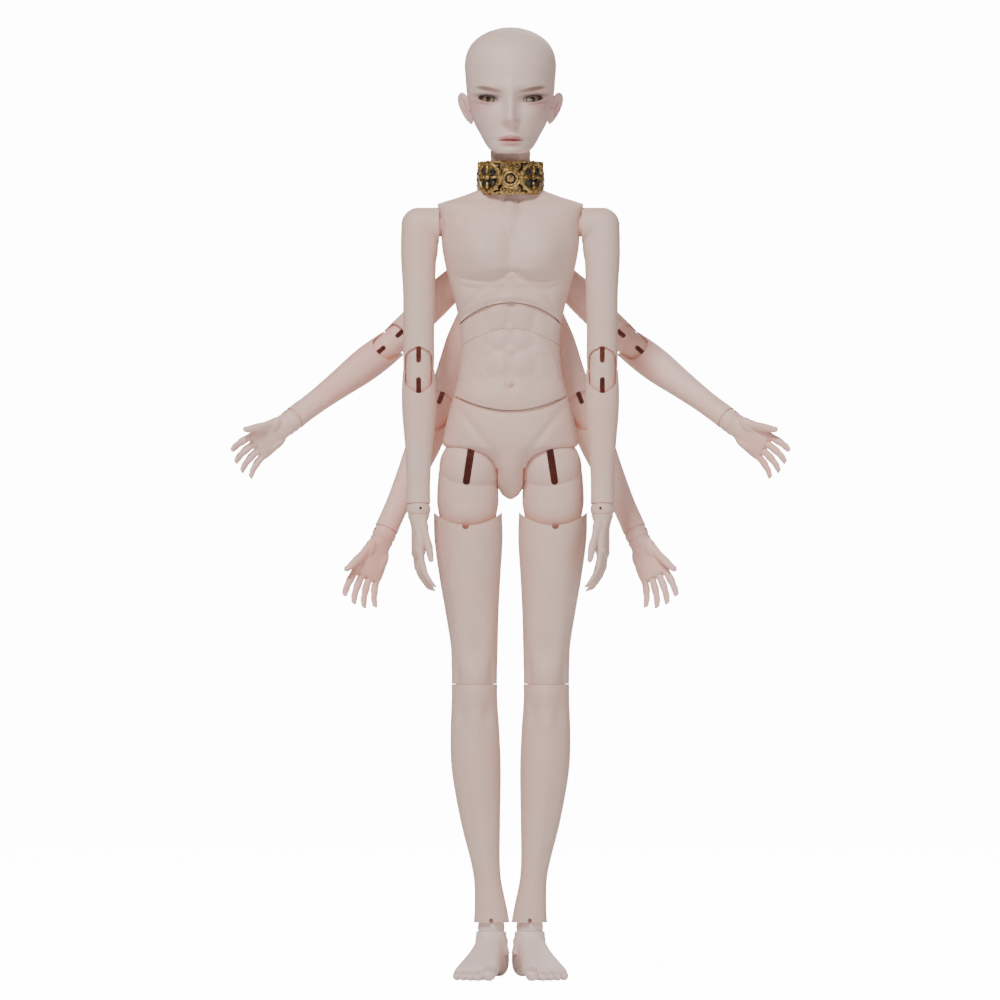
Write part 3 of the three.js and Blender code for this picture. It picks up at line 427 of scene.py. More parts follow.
    @staticmethod
    def mirror(piece: Piece) -> Piece:
        """Turns a piece into its mirror image across its own middle plane."""
        piece.data.transform(Matrix.Diagonal((-1, 1, 1, 1)))
        piece.data.flip_normals()
        return piece

    @staticmethod
    def group(name: str, parts: Sequence[Piece]) -> Piece:
        """Puts several meshes into one object under a name."""
        Bench.clear()
        for part in parts:
            part.select_set(True)
        bpy.context.view_layer.objects.active = parts[0]
        bpy.ops.object.join()
        piece = bpy.context.object
        piece.name = name
        piece.data.name = name
        return piece

    @staticmethod
    def hull(places: Sequence[Vector], radius: float, material: Material) -> Piece:
        """Makes the smallest bulging form round balls of one radius, in millimetres."""
        balls = [Bench.ball(place, radius, material, 48) for place in places]
        form = Bench.group("hull", balls)
        bpy.ops.object.mode_set(mode="EDIT")
        bpy.ops.mesh.select_all(action="SELECT")
        bpy.ops.mesh.convex_hull()
        bpy.ops.mesh.select_all(action="SELECT")
        bpy.ops.mesh.normals_make_consistent(inside=False)
        bpy.ops.object.mode_set(mode="OBJECT")
        return form

    @staticmethod
    def melt(piece: Piece, voxel: float, smoothing: int) -> Piece:
        """Melts overlapping forms into one even skin.

        Args:
            piece: the joined forms.
            voxel: how fine the new skin is, in millimetres.
            smoothing: how many times it is smoothed.

        Returns:
            The piece.
        """
        Bench.only(piece)
        remesh = piece.modifiers.new("melt", "REMESH")
        remesh.mode = "VOXEL"
        remesh.voxel_size = voxel * MM
        bpy.ops.object.modifier_apply(modifier=remesh.name)
        smooth = piece.modifiers.new("soften", "SMOOTH")
        smooth.factor = 0.5
        smooth.iterations = smoothing
        bpy.ops.object.modifier_apply(modifier=smooth.name)
        return piece

    @staticmethod
    def finish(piece: Piece, body: str, slot: str, *nodes: str) -> Piece:
        """Smooths a piece, makes it ride on its body and stand for its nodes.

        Args:
            piece: the finished mesh, in its place.
            body: the body that carries it.
            slot: the record's material slot; not used.
            nodes: the CAD nodes that it stands for.

        Returns:
            The piece.
        """
        Bench.only(piece)
        bpy.ops.object.shade_smooth_by_angle(angle=SMOOTH_ANGLE)
        Bench.clear()
        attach(piece, body)
        if nodes:
            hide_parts(*nodes)
        LOG.info("%s: %d faces on %s", piece.name, len(piece.data.polygons), body)
        return piece


def tone(red: int, green: int, blue: int) -> tuple[float, float, float, float]:
    """Turns a screen colour from 0 to 255 into the linear colour that shaders use."""
    def linear(value: int) -> float:
        """Turns one channel."""
        share = value / 255
        return share / 12.92 if share <= 0.04045 else ((share + 0.055) / 1.055) ** 2.4

    return (linear(red), linear(green), linear(blue), 1.0)


def dial(node: bpy.types.Node, socket: str, value: object) -> None:
    """Sets the value on one of a node's own sockets."""
    node.inputs[socket].default_value = value


class Groups:
    """Shader node groups that several finishes share."""

    @staticmethod
    def fresh(name: str, inputs: dict[str, tuple[str, object]], outputs: dict[str, str]) -> Tree:
        """Makes an empty shader node group with its sockets.

        Args:
            name: the group's name.
            inputs: socket names with their type and default.
            outputs: socket names with their type.

        Returns:
            The group, with its input and output nodes named In and Out.
        """
        tree = bpy.data.node_groups.new(name, "ShaderNodeTree")
        for label, (kind, value) in inputs.items():
            socket = tree.interface.new_socket(name=label, in_out="INPUT", socket_type=kind)
            if value is not None:
                socket.default_value = value
        for label, kind in outputs.items():
            tree.interface.new_socket(name=label, in_out="OUTPUT", socket_type=kind)
        entry = tree.nodes.new("NodeGroupInput")
        entry.name = "In"
        leave = tree.nodes.new("NodeGroupOutput")
        leave.name = "Out"
        return tree

    @staticmethod
    def maths(tree: Tree, operation: str, *values: object) -> Socket:
        """Adds one maths node and returns its result.

        Args:
            tree: the node tree it goes into.
            operation: the maths node's operation.
            values: numbers or sockets, in the order of the node's inputs.

        Returns:
            The output socket.
        """
        node = tree.nodes.new("ShaderNodeMath")
        node.operation = operation
        for socket, value in zip(node.inputs, values):
            if isinstance(value, (int, float)):
                socket.default_value = value
            else:
                tree.links.new(value, socket)
        return node.outputs[0]

    @staticmethod
    def cast_tone() -> Tree:
        """Builds the mottled tone and faint surface grain of cast resin."""
        tree = Groups.fresh(
            "Cast tone",
            {
                "Base": ("NodeSocketColor", tone(214, 196, 187)),
                "Flush": ("NodeSocketColor", tone(224, 186, 176)),
                "Patch Scale": ("NodeSocketFloat", 14.0),
                "Flush Share": ("NodeSocketFloat", 0.5),
            },
            {"Color": "NodeSocketColor", "Roughness": "NodeSocketFloat", "Height": "NodeSocketFloat"},
        )
        entry = tree.nodes["In"]
        leave = tree.nodes["Out"]
        place = tree.nodes.new("ShaderNodeTexCoord")
        patches = tree.nodes.new("ShaderNodeTexNoise")
        dial(patches, "Detail", 3)
        tree.links.new(place.outputs["Object"], patches.inputs["Vector"])
        tree.links.new(entry.outputs["Patch Scale"], patches.inputs["Scale"])
        spread = tree.nodes.new("ShaderNodeMapRange")
        dial(spread, "From Min", 0.38)
        dial(spread, "From Max", 0.68)
        tree.links.new(patches.outputs["Fac"], spread.inputs["Value"])
        amount = Groups.maths(tree, "MULTIPLY", spread.outputs["Result"], entry.outputs["Flush Share"])
        mix = tree.nodes.new("ShaderNodeMix")
        mix.data_type = "RGBA"
        tree.links.new(amount, mix.inputs["Factor"])
        tree.links.new(entry.outputs["Base"], mix.inputs["A"])
        tree.links.new(entry.outputs["Flush"], mix.inputs["B"])
        tree.links.new(mix.outputs["Result"], leave.inputs["Color"])
        grain = tree.nodes.new("ShaderNodeTexNoise")
        dial(grain, "Scale", 1400)
        dial(grain, "Detail", 2)
        tree.links.new(place.outputs["Object"], grain.inputs["Vector"])
        tree.links.new(grain.outputs["Fac"], leave.inputs["Height"])
        dull = tree.nodes.new("ShaderNodeMapRange")
        dial(dull, "To Min", 0.5)
        dial(dull, "To Max", 0.66)
        tree.links.new(patches.outputs["Fac"], dull.inputs["Value"])
        tree.links.new(dull.outputs["Result"], leave.inputs["Roughness"])
        return tree

    @staticmethod
    def brush_spot() -> Tree:
        """Builds a soft oval mask on the front of the head, the same on both sides."""
        number = "NodeSocketFloat"
        tree = Groups.fresh(
            "Brush spot",
            {
                "Across": (number, 0.0),
                "Up": (number, 0.6),
                "Half Width": (number, 0.01),
                "Half Height": (number, 0.01),
                "Tilt": (number, 0.0),
                "Softness": (number, 0.4),
                "Strength": (number, 1.0),
            },
            {"Mask": number},
        )
        entry = tree.nodes["In"].outputs
        place = tree.nodes.new("ShaderNodeTexCoord")
        parts = tree.nodes.new("ShaderNodeSeparateXYZ")
        tree.links.new(place.outputs["Object"], parts.inputs[0])
        mirrored = Groups.maths(tree, "ABSOLUTE", parts.outputs["X"])
        across = Groups.maths(tree, "SUBTRACT", mirrored, entry["Across"])
        rise = Groups.maths(tree, "SUBTRACT", parts.outputs["Z"], entry["Up"])
        cosine = Groups.maths(tree, "COSINE", entry["Tilt"])
        sine = Groups.maths(tree, "SINE", entry["Tilt"])
        u = Groups.maths(
            tree,
            "ADD",
            Groups.maths(tree, "MULTIPLY", across, cosine),
            Groups.maths(tree, "MULTIPLY", rise, sine),
        )
        v = Groups.maths(
            tree,
            "SUBTRACT",
            Groups.maths(tree, "MULTIPLY", rise, cosine),
            Groups.maths(tree, "MULTIPLY", across, sine),
        )
        wide = Groups.maths(tree, "POWER", Groups.maths(tree, "DIVIDE", u, entry["Half Width"]), 2.0)
        high = Groups.maths(tree, "POWER", Groups.maths(tree, "DIVIDE", v, entry["Half Height"]), 2.0)
        distance = Groups.maths(tree, "SQRT", Groups.maths(tree, "ADD", wide, high))
        fade = tree.nodes.new("ShaderNodeMapRange")
        fade.interpolation_type = "SMOOTHSTEP"
        tree.links.new(distance, fade.inputs["Value"])
        tree.links.new(Groups.maths(tree, "SUBTRACT", 1.0, entry["Softness"]), fade.inputs["From Min"])
        tree.links.new(Groups.maths(tree, "ADD", 1.0, entry["Softness"]), fade.inputs["From Max"])
        dial(fade, "To Min", 1)
        dial(fade, "To Max", 0)
        front = Groups.maths(tree, "LESS_THAN", parts.outputs["Y"], 0.004)
        strong = Groups.maths(tree, "MULTIPLY", fade.outputs["Result"], entry["Strength"])
        tree.links.new(Groups.maths(tree, "MULTIPLY", strong, front), tree.nodes["Out"].inputs["Mask"])
        return tree


@dataclass(frozen=True)
class Resin:
    """Matte cast resin in a skin tone, with a faint flush."""

    name: str
    base: tuple[float, float, float, float]
    flush: tuple[float, float, float, float]
    flush_share: float = 0.5
    patch_scale: float = 14.0
    bump_mm: float = 0.02
    # strength of the emission, a painted glow
    bleed: float = 0.0

    def build(self, cast: Tree) -> Material:
        """Makes the material.

        Args:
            cast: the shared group of the resin's tone.

        Returns:
            The material, with its tone group node named Tone.
        """
        material = bpy.data.materials.new(self.name)
        material.use_nodes = True
        tree = material.node_tree
        shader = tree.nodes["Principled BSDF"]
        dial(shader, "IOR", 1.46)
        dial(shader, "Subsurface Weight", 0.12)
        dial(shader, "Subsurface Radius", (1.0, 0.45, 0.3))
        dial(shader, "Subsurface Scale", 2.5 * MM)
        group = tree.nodes.new("ShaderNodeGroup")
        group.name = "Tone"
        group.node_tree = cast
        dial(group, "Base", self.base)
        dial(group, "Flush", self.flush)
        dial(group, "Flush Share", self.flush_share)
        dial(group, "Patch Scale", self.patch_scale)
        bump = tree.nodes.new("ShaderNodeBump")
        dial(bump, "Strength", 0.35)
        dial(bump, "Distance", self.bump_mm * MM)
        # The emission in the resin's own tone is a painted glow; it is 0 for the skin and only the socket walls have
        # it.
        dial(shader, "Emission Color", self.base)
        dial(shader, "Emission Strength", self.bleed)
        tree.links.new(group.outputs["Color"], shader.inputs["Base Color"])
        tree.links.new(group.outputs["Roughness"], shader.inputs["Roughness"])
        tree.links.new(group.outputs["Height"], bump.inputs["Height"])
        tree.links.new(bump.outputs["Normal"], shader.inputs["Normal"])
        return material


@dataclass(frozen=True)
class Stroke:
    """One soft stroke of face paint, in millimetres from the middle and above the ground."""

    across: float
    up: float
    half_width: float
    half_height: float
    colour: tuple[float, float, float, float]
    strength: float = 1.0
    tilt: float = 0.0
    softness: float = 0.4


@dataclass(frozen=True)
class FacePaint:
    """Face paint brushed over the resin of the head."""

    skin: Resin
    strokes: tuple[Stroke, ...]

    def build(self, cast: Tree, spot: Tree) -> Material:
        """Makes the head's material.

        Args:
            cast: the shared group of the resin's tone.
            spot: the shared group of one soft stroke.

        Returns:
            The material.
        """
        material = self.skin.build(cast)
        tree = material.node_tree
        colour = tree.nodes["Tone"].outputs["Color"]
        for stroke in self.strokes:
            mask = tree.nodes.new("ShaderNodeGroup")
            mask.node_tree = spot
            dial(mask, "Across", stroke.across * MM)
            dial(mask, "Up", stroke.up * MM)
            dial(mask, "Half Width", stroke.half_width * MM)
            dial(mask, "Half Height", stroke.half_height * MM)
            dial(mask, "Tilt", math.radians(stroke.tilt))
            dial(mask, "Softness", stroke.softness)
            dial(mask, "Strength", stroke.strength)
            mix = tree.nodes.new("ShaderNodeMix")
            mix.data_type = "RGBA"
            tree.links.new(mask.outputs["Mask"], mix.inputs["Factor"])
            tree.links.new(colour, mix.inputs["A"])
            dial(mix, "B", stroke.colour)
            colour = mix.outputs["Result"]
        tree.links.new(colour, tree.nodes["Principled BSDF"].inputs["Base Color"])
        return material


@dataclass(frozen=True)
class Plain:
    """A surface with two tones mottled together, for metal, lashes and recesses."""

    name: str
    light: tuple[float, float, float, float]
    dark: tuple[float, float, float, float]
    metallic: float = 0.0
    rough_low: float = 0.4
    rough_high: float = 0.6
    scale: float = 300.0
    bump_mm: float = 0.05
    # strength of the emission, a painted glow
    bleed: float = 0.0

    def build(self) -> Material:
        """Makes the material, with an emission that is a painted glow lifting the surface out of its shade."""
        material = bpy.data.materials.new(self.name)
        material.use_nodes = True
        tree = material.node_tree
        shader = tree.nodes["Principled BSDF"]
        dial(shader, "Metallic", self.metallic)
        dial(shader, "Emission Color", self.light)
        dial(shader, "Emission Strength", self.bleed)
        place = tree.nodes.new("ShaderNodeTexCoord")
        noise = tree.nodes.new("ShaderNodeTexNoise")
        dial(noise, "Scale", self.scale)
        dial(noise, "Detail", 4)
        ramp = tree.nodes.new("ShaderNodeValToRGB")
        ramp.color_ramp.elements[0].position = 0.36
        ramp.color_ramp.elements[0].color = self.dark
        ramp.color_ramp.elements[1].position = 0.6
        ramp.color_ramp.elements[1].color = self.light
        rough = tree.nodes.new("ShaderNodeMapRange")
        dial(rough, "To Min", self.rough_high)
        dial(rough, "To Max", self.rough_low)
        bump = tree.nodes.new("ShaderNodeBump")
        dial(bump, "Strength", 0.6)
        dial(bump, "Distance", self.bump_mm * MM)
        tree.links.new(place.outputs["Object"], noise.inputs["Vector"])
        tree.links.new(noise.outputs["Fac"], ramp.inputs["Fac"])
        tree.links.new(noise.outputs["Fac"], rough.inputs["Value"])
        tree.links.new(noise.outputs["Fac"], bump.inputs["Height"])
        tree.links.new(ramp.outputs["Color"], shader.inputs["Base Color"])
        tree.links.new(rough.outputs["Result"], shader.inputs["Roughness"])
        tree.links.new(bump.outputs["Normal"], shader.inputs["Normal"])
        return material


@dataclass(frozen=True)
class GlassEye:
    """A glossy eye whose iris and pupil are rings round its axis towards the front."""

    name: str
    across: float
    up: float
    iris: float = 5.3
    pupil: float = 1.7

    def build(self) -> Material:
        """Makes the material."""
        material = bpy.data.materials.new(self.name)
        material.use_nodes = True
        tree = material.node_tree
        shader = tree.nodes["Principled BSDF"]
        dial(shader, "Roughness", 0.12)
        place = tree.nodes.new("ShaderNodeTexCoord")
        parts = tree.nodes.new("ShaderNodeSeparateXYZ")
        tree.links.new(place.outputs["Object"], parts.inputs[0])
        across = Groups.maths(tree, "SUBTRACT", parts.outputs["X"], self.across * MM)
        rise = Groups.maths(tree, "SUBTRACT", parts.outputs["Z"], self.up * MM)
        square = Groups.maths(
            tree,
            "ADD",
            Groups.maths(tree, "MULTIPLY", across, across),
            Groups.maths(tree, "MULTIPLY", rise, rise),
        )
        radius = Groups.maths(tree, "SQRT", square)
        share = Groups.maths(tree, "DIVIDE", radius, self.iris * MM)
        ramp = tree.nodes.new("ShaderNodeValToRGB")
        ramp.color_ramp.elements[0].position = self.pupil / self.iris * 0.9
        ramp.color_ramp.elements[0].color = tone(46, 34, 30)
        ramp.color_ramp.elements[1].position = 1.0
        ramp.color_ramp.elements[1].color = tone(196, 172, 164)
        for position, colour in ((0.42, tone(150, 132, 104)), (0.8, tone(116, 98, 80)), (0.92, tone(74, 56, 50))):
            ramp.color_ramp.elements.new(position).color = colour
        tree.links.new(share, ramp.inputs["Fac"])
        tree.links.new(ramp.outputs["Color"], shader.inputs["Base Color"])
        dial(shader, "Coat Weight", 0.8)
        dial(shader, "Coat Roughness", 0.03)
        return material


@dataclass
class Finishes:
    """Every material of the doll, built once."""

    skin: Material = field(init=False)
    rear_skin: Material = field(init=False)
    foot_skin: Material = field(init=False)
    face: Material = field(init=False)
    recess: Material = field(init=False)
    socket: Material = field(init=False)
    gilt: Material = field(init=False)
    patina: Material = field(init=False)
    silver: Material = field(init=False)
    lash: Material = field(init=False)
    eyes: dict[Side, Material] = field(init=False)

    def __post_init__(self) -> None:
        """Builds the shared groups, then each material."""
        cast = Groups.cast_tone()
        skin = Resin("cast resin", tone(224, 192, 178), tone(228, 184, 168), 0.6)
        self.skin = skin.build(cast)
        self.rear_skin = Resin("cast resin of the rear arms", tone(240, 202, 188), tone(244, 184, 168), 0.9).build(cast)
        # The feet and ankles get a lighter copy of the skin, painted light for the light that falls on them, since they
        # lie further from the key light.
        self.foot_skin = Resin("cast resin of the feet", tone(240, 214, 206), tone(242, 206, 196), 0.6).build(cast)
        rose = tone(196, 120, 116)
        blush = tone(222, 168, 166)
        brow = tone(142, 104, 90)
        shade = tone(86, 66, 64)
        strokes = (
            Stroke(22.5, 642.5, 8, 6.5, blush, 0.75, 12, 0.8),
            Stroke(25, 633, 9, 7, blush, 0.28, 20, 0.9),
            Stroke(0, 628, 5, 4.5, blush, 0.5, 0, 0.9),
            Stroke(36, 640, 7, 12, blush, 0.6, 0, 0.8),
            Stroke(13, 651, 6, 3.5, blush, 0.3, -20, 0.8),
            Stroke(16.8, 645.6, 9.6, 4.6, tone(170, 132, 130), 0.45, 6, 0.6),
            Stroke(17.4, 648.1, 8.8, 1.5, shade, 0.75, 6, 0.6),
            Stroke(19.5, 642.6, 6.5, 0.8, tone(140, 92, 90), 0.5, 10, 0.7),
            Stroke(15.6, 652.7, 8.8, 1.5, brow, 0.8, 12, 0.5),
            Stroke(19.5, 653.9, 5.2, 1.2, brow, 0.6, 9, 0.5),
            Stroke(0, 616.2, 8.4, 2.6, rose, 0.85, 0, 0.4),
            Stroke(3.6, 617.0, 4.6, 1.4, rose, 0.5, -20, 0.4),
            Stroke(0, 615.2, 8.2, 0.85, tone(120, 52, 52), 0.95, 0, 0.45),
            Stroke(0, 612.7, 6.4, 1.9, rose, 0.62, 0, 0.6),
        )
        self.face = FacePaint(
            Resin("cast resin of the head", tone(226, 196, 184), tone(228, 192, 178), 0.5), strokes
        ).build(cast, Groups.brush_spot())
        # The slot walls are darker and redder than the skin as painted shade for the deep recesses, and their faint
        # emission is a painted glow.
        self.recess = Plain("slot wall", tone(200, 142, 128), tone(158, 100, 92), 0, 0.5, 0.7, 90, 0.1, 0.06).build()
        # The socket walls, the head's hollow and the hand's nails carry a faint emission, a painted glow.
        self.socket = Resin("socket wall", tone(228, 178, 160), tone(220, 158, 140), 0.8, bleed=0.16).build(cast)
        self.gilt = Plain("antique gilt", tone(198, 166, 106), tone(112, 84, 48), 0.8, 0.3, 0.55, 420, 0.12).build()
        # The near-black finish of the collar's band and of the rosettes' hollows, also used as painted shade on the
        # rosettes' piercings.
        self.patina = Plain("dark patina", tone(70, 62, 58), tone(22, 22, 30), 0.4, 0.5, 0.8, 380, 0.1).build()
        self.silver = Plain("worn silver", tone(176, 178, 176), tone(96, 104, 100), 0.9, 0.3, 0.5, 300, 0.05).build()
        self.lash = Plain("lash", tone(70, 52, 48), tone(40, 30, 28), 0, 0.6, 0.8, 900, 0.02).build()
        self.eyes = {side: GlassEye(f"glass eye {side.label}", side.sign * 16.4, 645.6).build() for side in Side}


@dataclass(frozen=True)
class Skeleton:
    """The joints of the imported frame, in millimetres."""

    joints: dict[str, dict]

    def place(self, joint: str) -> Vector:
        """Gives where a joint turns."""
        return Vector(self.joints[joint]["pos_m"]) / MM

    def axis(self, joint: str) -> Vector:
        """Gives the axis that a joint turns about."""
        return Vector(self.joints[joint]["axis"]).normalized()

    @property
    def back(self) -> float:
        """How far the doll's own middle lies behind the origin."""
        return self.place("waist_bend").y

    def setting(self, origin: Vector, across: Vector, up: Vector) -> Matrix:
        """Makes the matrix that sets a limb piece in its place.

        Args:
            origin: where the piece's own origin goes, in millimetres.
            across: the way its X goes.
            up: the way its Z goes.

        Returns:
            The matrix, in metres.
        """
        z = up.normalized()
        x = (across - z * across.dot(z)).normalized()
        y = z.cross(x)
        turn = Matrix((x, y, z)).transposed().to_4x4()
        return Matrix.Translation(origin * MM) @ turn


@dataclass
class Torso:
    """Pelvis, belly, abdomen and chest, parted from one modelled torso."""

    finishes: Finishes
    skeleton: Skeleton
    crotch: float = 352
    neck_top: float = 606
    half_width: float = 49.5
    half_depth: float = 27
    bore: float = 8
    seam: float = 0.35
    shoulder_across: float = 52.6
    arm_round: float = 13.6
    relief: float = 2.5
    core_share: tuple[float, float] = (0.96, 0.935)
    bends: tuple[float, float] = (-7, 6)
    hip_height: float = 375
    waist_height: float = 433
    waist_half: tuple[float, float, float] = (39, 24.5, 24.5)
    waist_floor: float = 403
    seam_middle: float = 417
    seam_rise: float = 16
    twist_height: float = 443.2
    twist_radius: float = 42.1
    chest_height: float = 492
    chest_half: tuple[float, float, float] = (37.5, 23.6, 23.6)
    chest_floor: float = 450
    arch_top: float = 500.3
    arch_radius: float = 61.3
    arch_drop: float = 14
    arm_height: float = 554
    neck_radius: float = 14.8
    neck_bore: float = 5.2
    arm_bore: float = 3.2

    ROWS = (
        (0, 0.03, 0.1, 0, 0.08), (0.012, 0.12, 0.36, 0, 0.07), (0.04, 0.2, 0.6, 0, 0.06), (0.09, 0.27, 0.84, 0, 0.03),
        (0.125, 0.45, 0.93, 0, 0.02), (0.142, 0.78, 0.97, 0, 0.02), (0.154, 0.99, 1, 0, 0.02),
        (0.19, 0.985, 1.02, 0, 0.02), (0.256, 0.91, 1, 0, 0), (0.319, 0.82, 0.95, 0, -0.02),
        (0.386, 0.752, 0.89, 0, -0.03), (0.441, 0.73, 0.86, 0, -0.02), (0.496, 0.752, 0.89, 0, 0),
        (0.543, 0.794, 0.93, 0, 0), (0.602, 0.869, 1, 0, -0.01), (0.669, 0.96, 1.04, 0, -0.02),
        (0.732, 1.02, 1.06, 0, -0.01), (0.799, 1.045, 1, 0, 0), (0.838, 1.09, 0.86, 0, 0.04),
        (0.853, 1.13, 0.72, 0, 0.06), (0.864, 0.98, 0.62, 0, 0.06), (0.88, 0.72, 0.58, 0, 0.05),
        (0.9, 0.47, 0.55, 0, 0.03), (0.925, 0.345, 0.53, 0, 0), (0.96, 0.31, 0.52, 0, 0), (1, 0.29, 0.5, 0, 0),
    )
    # Across, up, spread across, spread up and rise of each form on the front, then on the back
    FRONT = (
        (22, 531, 14, 12, 3.6), (12, 520, 9, 6, 0.8), (30, 541, 9, 10, 1.0), (0, 541, 3.2, 22, -1.2),
        (0, 567, 4.6, 4, -1.5), (20, 568.6, 11, 2.6, 0.6), (38, 570.6, 10, 2.6, 0.7), (22, 563, 14, 2.8, -0.5),
        (8.6, 489, 7, 6.4, 0.8), (8.6, 471, 7, 7, 0.8), (8.6, 451, 7, 7.6, 0.9), (0, 466, 2.4, 30, -0.8),
        (21, 470, 4.5, 26, -0.5), (9, 461.5, 10, 2.8, -0.5), (9, 442, 10, 2.8, -0.35), (0, 436.9, 2, 2.3, -1.7),
        (0, 440.4, 3.4, 1.8, 0.5), (26, 425, 8, 8, 0.9), (0, 428, 16, 8, 1.3), (33, 500, 4, 4, 0.8),
        (36, 492, 4, 4, 0.7), (38, 483, 4, 4, 0.6), (7, 584, 3, 12, 0.8), (0, 584, 3.4, 12, -0.4),
        (28, 402, 12, 9, 1.2), (0, 400, 16, 12, 1.4), (0, 372, 8, 12, 1.0),
    )
    BACK = (
        (24, 538, 11, 16, 0.8), (0, 500, 3.6, 60, -2.0), (15, 480, 8, 40, 1.2), (24, 388, 14, 15, 8.5),
        (0, 384, 3.6, 20, -3.2), (18, 424, 2.6, 3, -1.2), (24, 566, 14, 6, 1.2), (12, 575, 8, 8, 1.4),
    )

    def crease(self, x: float, z: float) -> float:
        """Gives the depth of the long curved creases on the front at a point.

        Args:
            x: how far across, in millimetres.
            z: how high.

        Returns:
            How far the surface sinks there.
        """
        near = abs(x)
        under_chest = 511 + 6 * bell(near, 9) + 0.02 * max(near - 27, 0) ** 2
        depth = 1.3 * bell(z - under_chest, 2.8) * (1 - bell(near - 50, 8))
        arch = self.arch_top - self.arch_radius + math.sqrt(self.arch_radius**2 - min(near, 50) ** 2)
        ball = self.twist_height + math.sqrt(max(34**2 - near**2, 0))
        waist = self.seam_middle + self.seam_rise * (near / self.half_width) ** 2
        for seam, deep in ((arch, 0.7), (ball, 0.5), (waist, 0.55)):
            depth += deep * bell(z - seam, 2.4)
        ribs = 507 - 0.0125 * near**2
        depth += 0.6 * bell(z - ribs, 2.4) * min(1.0, near / 14) * (1 - bell(near - 46, 8))
        groin = 388 + 1.15 * (near - 13)
        depth += 0.9 * bell(z - groin, 3.2) * bell(near - 26, 9)
        return depth

    def shape(self, up: float, turn: float) -> Vector:
        """Places one point of the torso.

        Args:
            up: the share of the way up.
            turn: the turn round the body.

        Returns:
            The point in millimetres.
        """
        end = 0.012
        close = min(1.0, up / end, (1 - up) / end)
        share = min(max((up - end) / (1 - 2 * end), 0), 1)
        wide, deep, _, shift = along(self.ROWS, share)
        z = self.crotch + share * (self.neck_top - self.crotch)
        x = wide * self.half_width * boxy(math.cos(turn), 0.88) * close
        side = boxy(math.sin(turn), 0.88)
        y = shift * self.half_depth + deep * self.half_depth * side * close
        facing = abs(math.sin(turn)) ** 0.8
        forms = self.FRONT if side < 0 else self.BACK
        out = sum(
            rise * (bell(x - a, sa) + (bell(x + a, sa) if a else 0)) * bell(z - b, sb)
            for a, b, sa, sb, rise in forms
        )
        if side < 0:
            out = (out - self.crease(x, z)) * self.relief
        y += math.copysign(out * facing * close, side)
        return Vector((x, y + self.skeleton.back, z))

    def at(self, x: float, y: float, z: float) -> Vector:
        """Gives a point set back with the doll's own middle."""
        return Vector((x, y + self.skeleton.back, z))

    def dome(self, height: float, half: Vector, gap: float) -> Piece:
        """Makes the egg-shaped tool of a torso joint."""
        grown = half + Vector((gap, gap, gap))
        return Bench.ball(self.at(0, 0, height), grown, self.finishes.skin, 64)

    def chest_dome(self, gap: float) -> Piece:
        """Makes the tool of the dome that carries the chest."""
        return self.dome(self.chest_height, Vector(self.chest_half), gap)

    def waist_dome(self, gap: float) -> Piece:
        """Makes the tool of the bowl that sits in the pelvis."""
        return self.dome(self.waist_height, Vector(self.waist_half), gap)

    def below_waist(self, lift: float) -> Piece:
        """Makes the tool below the waist seam, which dips at the front middle.

        Args:
            lift: how far the seam is raised, in millimetres.

        Returns:
            The tool.
        """
        def seam(x: float, _: float) -> float:
            """Gives the height of the seam across the body."""
            return self.seam_middle + lift + self.seam_rise * min(abs(x) / self.half_width, 1.0) ** 2

        return Bench.slab(seam, (70, 70), 340, self.finishes.skin)

    def below_arch(self, gap: float) -> Piece:
        """Makes the tool below an arched seam that drops towards the back.

        Args:
            gap: how far it is drawn in.

        Returns:
            The tool.
        """
        def seam(x: float, y: float) -> float:
            """Gives the height of the seam at a place of the body."""
            slope = self.arch_drop / 2 * (1 + (y - self.skeleton.back) / (2 * self.half_depth))
            reach = math.sqrt(max((self.arch_radius - gap) ** 2 - x * x, 0))
            return self.arch_top - self.arch_radius - slope + reach

        return Bench.slab(seam, (60, 56), 340, self.finishes.skin)

    def ball_seam(self, gap: float) -> Piece:
        """Makes the tool below the ball-shaped seam on which the chest twists."""
        ball = Bench.ball(self.at(0, 0, self.twist_height), self.twist_radius + gap, self.finishes.skin, 96)
        rest = Bench.block(self.at(-70, -60, 340), self.at(70, 60, self.twist_height), self.finishes.skin)
        return Bench.add(ball, rest)

    def tilted(self, tool: Piece, height: float, bend: float) -> Piece:
        """Turns a tool forward about the bend axis at a height, by an angle in degrees."""
        pivot = Matrix.Translation(self.at(0, 0, height) * MM)
        tool.data.transform(pivot @ Matrix.Rotation(math.radians(bend), 4, "X") @ pivot.inverted())
        return tool

    def core(self, whole: Piece) -> Piece:
        """Makes the torso without its outer wall."""
        core = Bench.copy(whole, "core")
        middle = Matrix.Translation(self.at(0, 0, 0) * MM)
        core.data.transform(middle @ Matrix.Diagonal((*self.core_share, 1, 1)) @ middle.inverted())
        return core

    def ease(
        self,
        whole: Piece,
        pieces: tuple[Piece, Piece],
        seam: Callable[[], Piece],
        height: float,
        floor: float,
    ) -> None:
        """Gives two pieces room to bend, the upper one inside its rim and the lower one at its edge.

        Args:
            whole: the torso that both come from.
            pieces: the upper and the lower piece.
            seam: makes the tool below the seam between them.
            height: how high the bend axis lies.
            floor: a height below the whole seam.
        """
        upper, lower = pieces
        for bend in self.bends:
            Bench.cut(upper, Bench.keep(self.tilted(seam(), height, -bend), self.core(whole)))
        heart = Bench.keep(Bench.copy(lower, "heart"), self.core(whole))
        Bench.keep(heart, Bench.block(self.at(-70, -60, floor), self.at(70, 60, height + 30), self.finishes.skin))
        for bend in self.bends:
            Bench.keep(lower, self.tilted(seam(), height, bend))
        Bench.add(lower, heart)

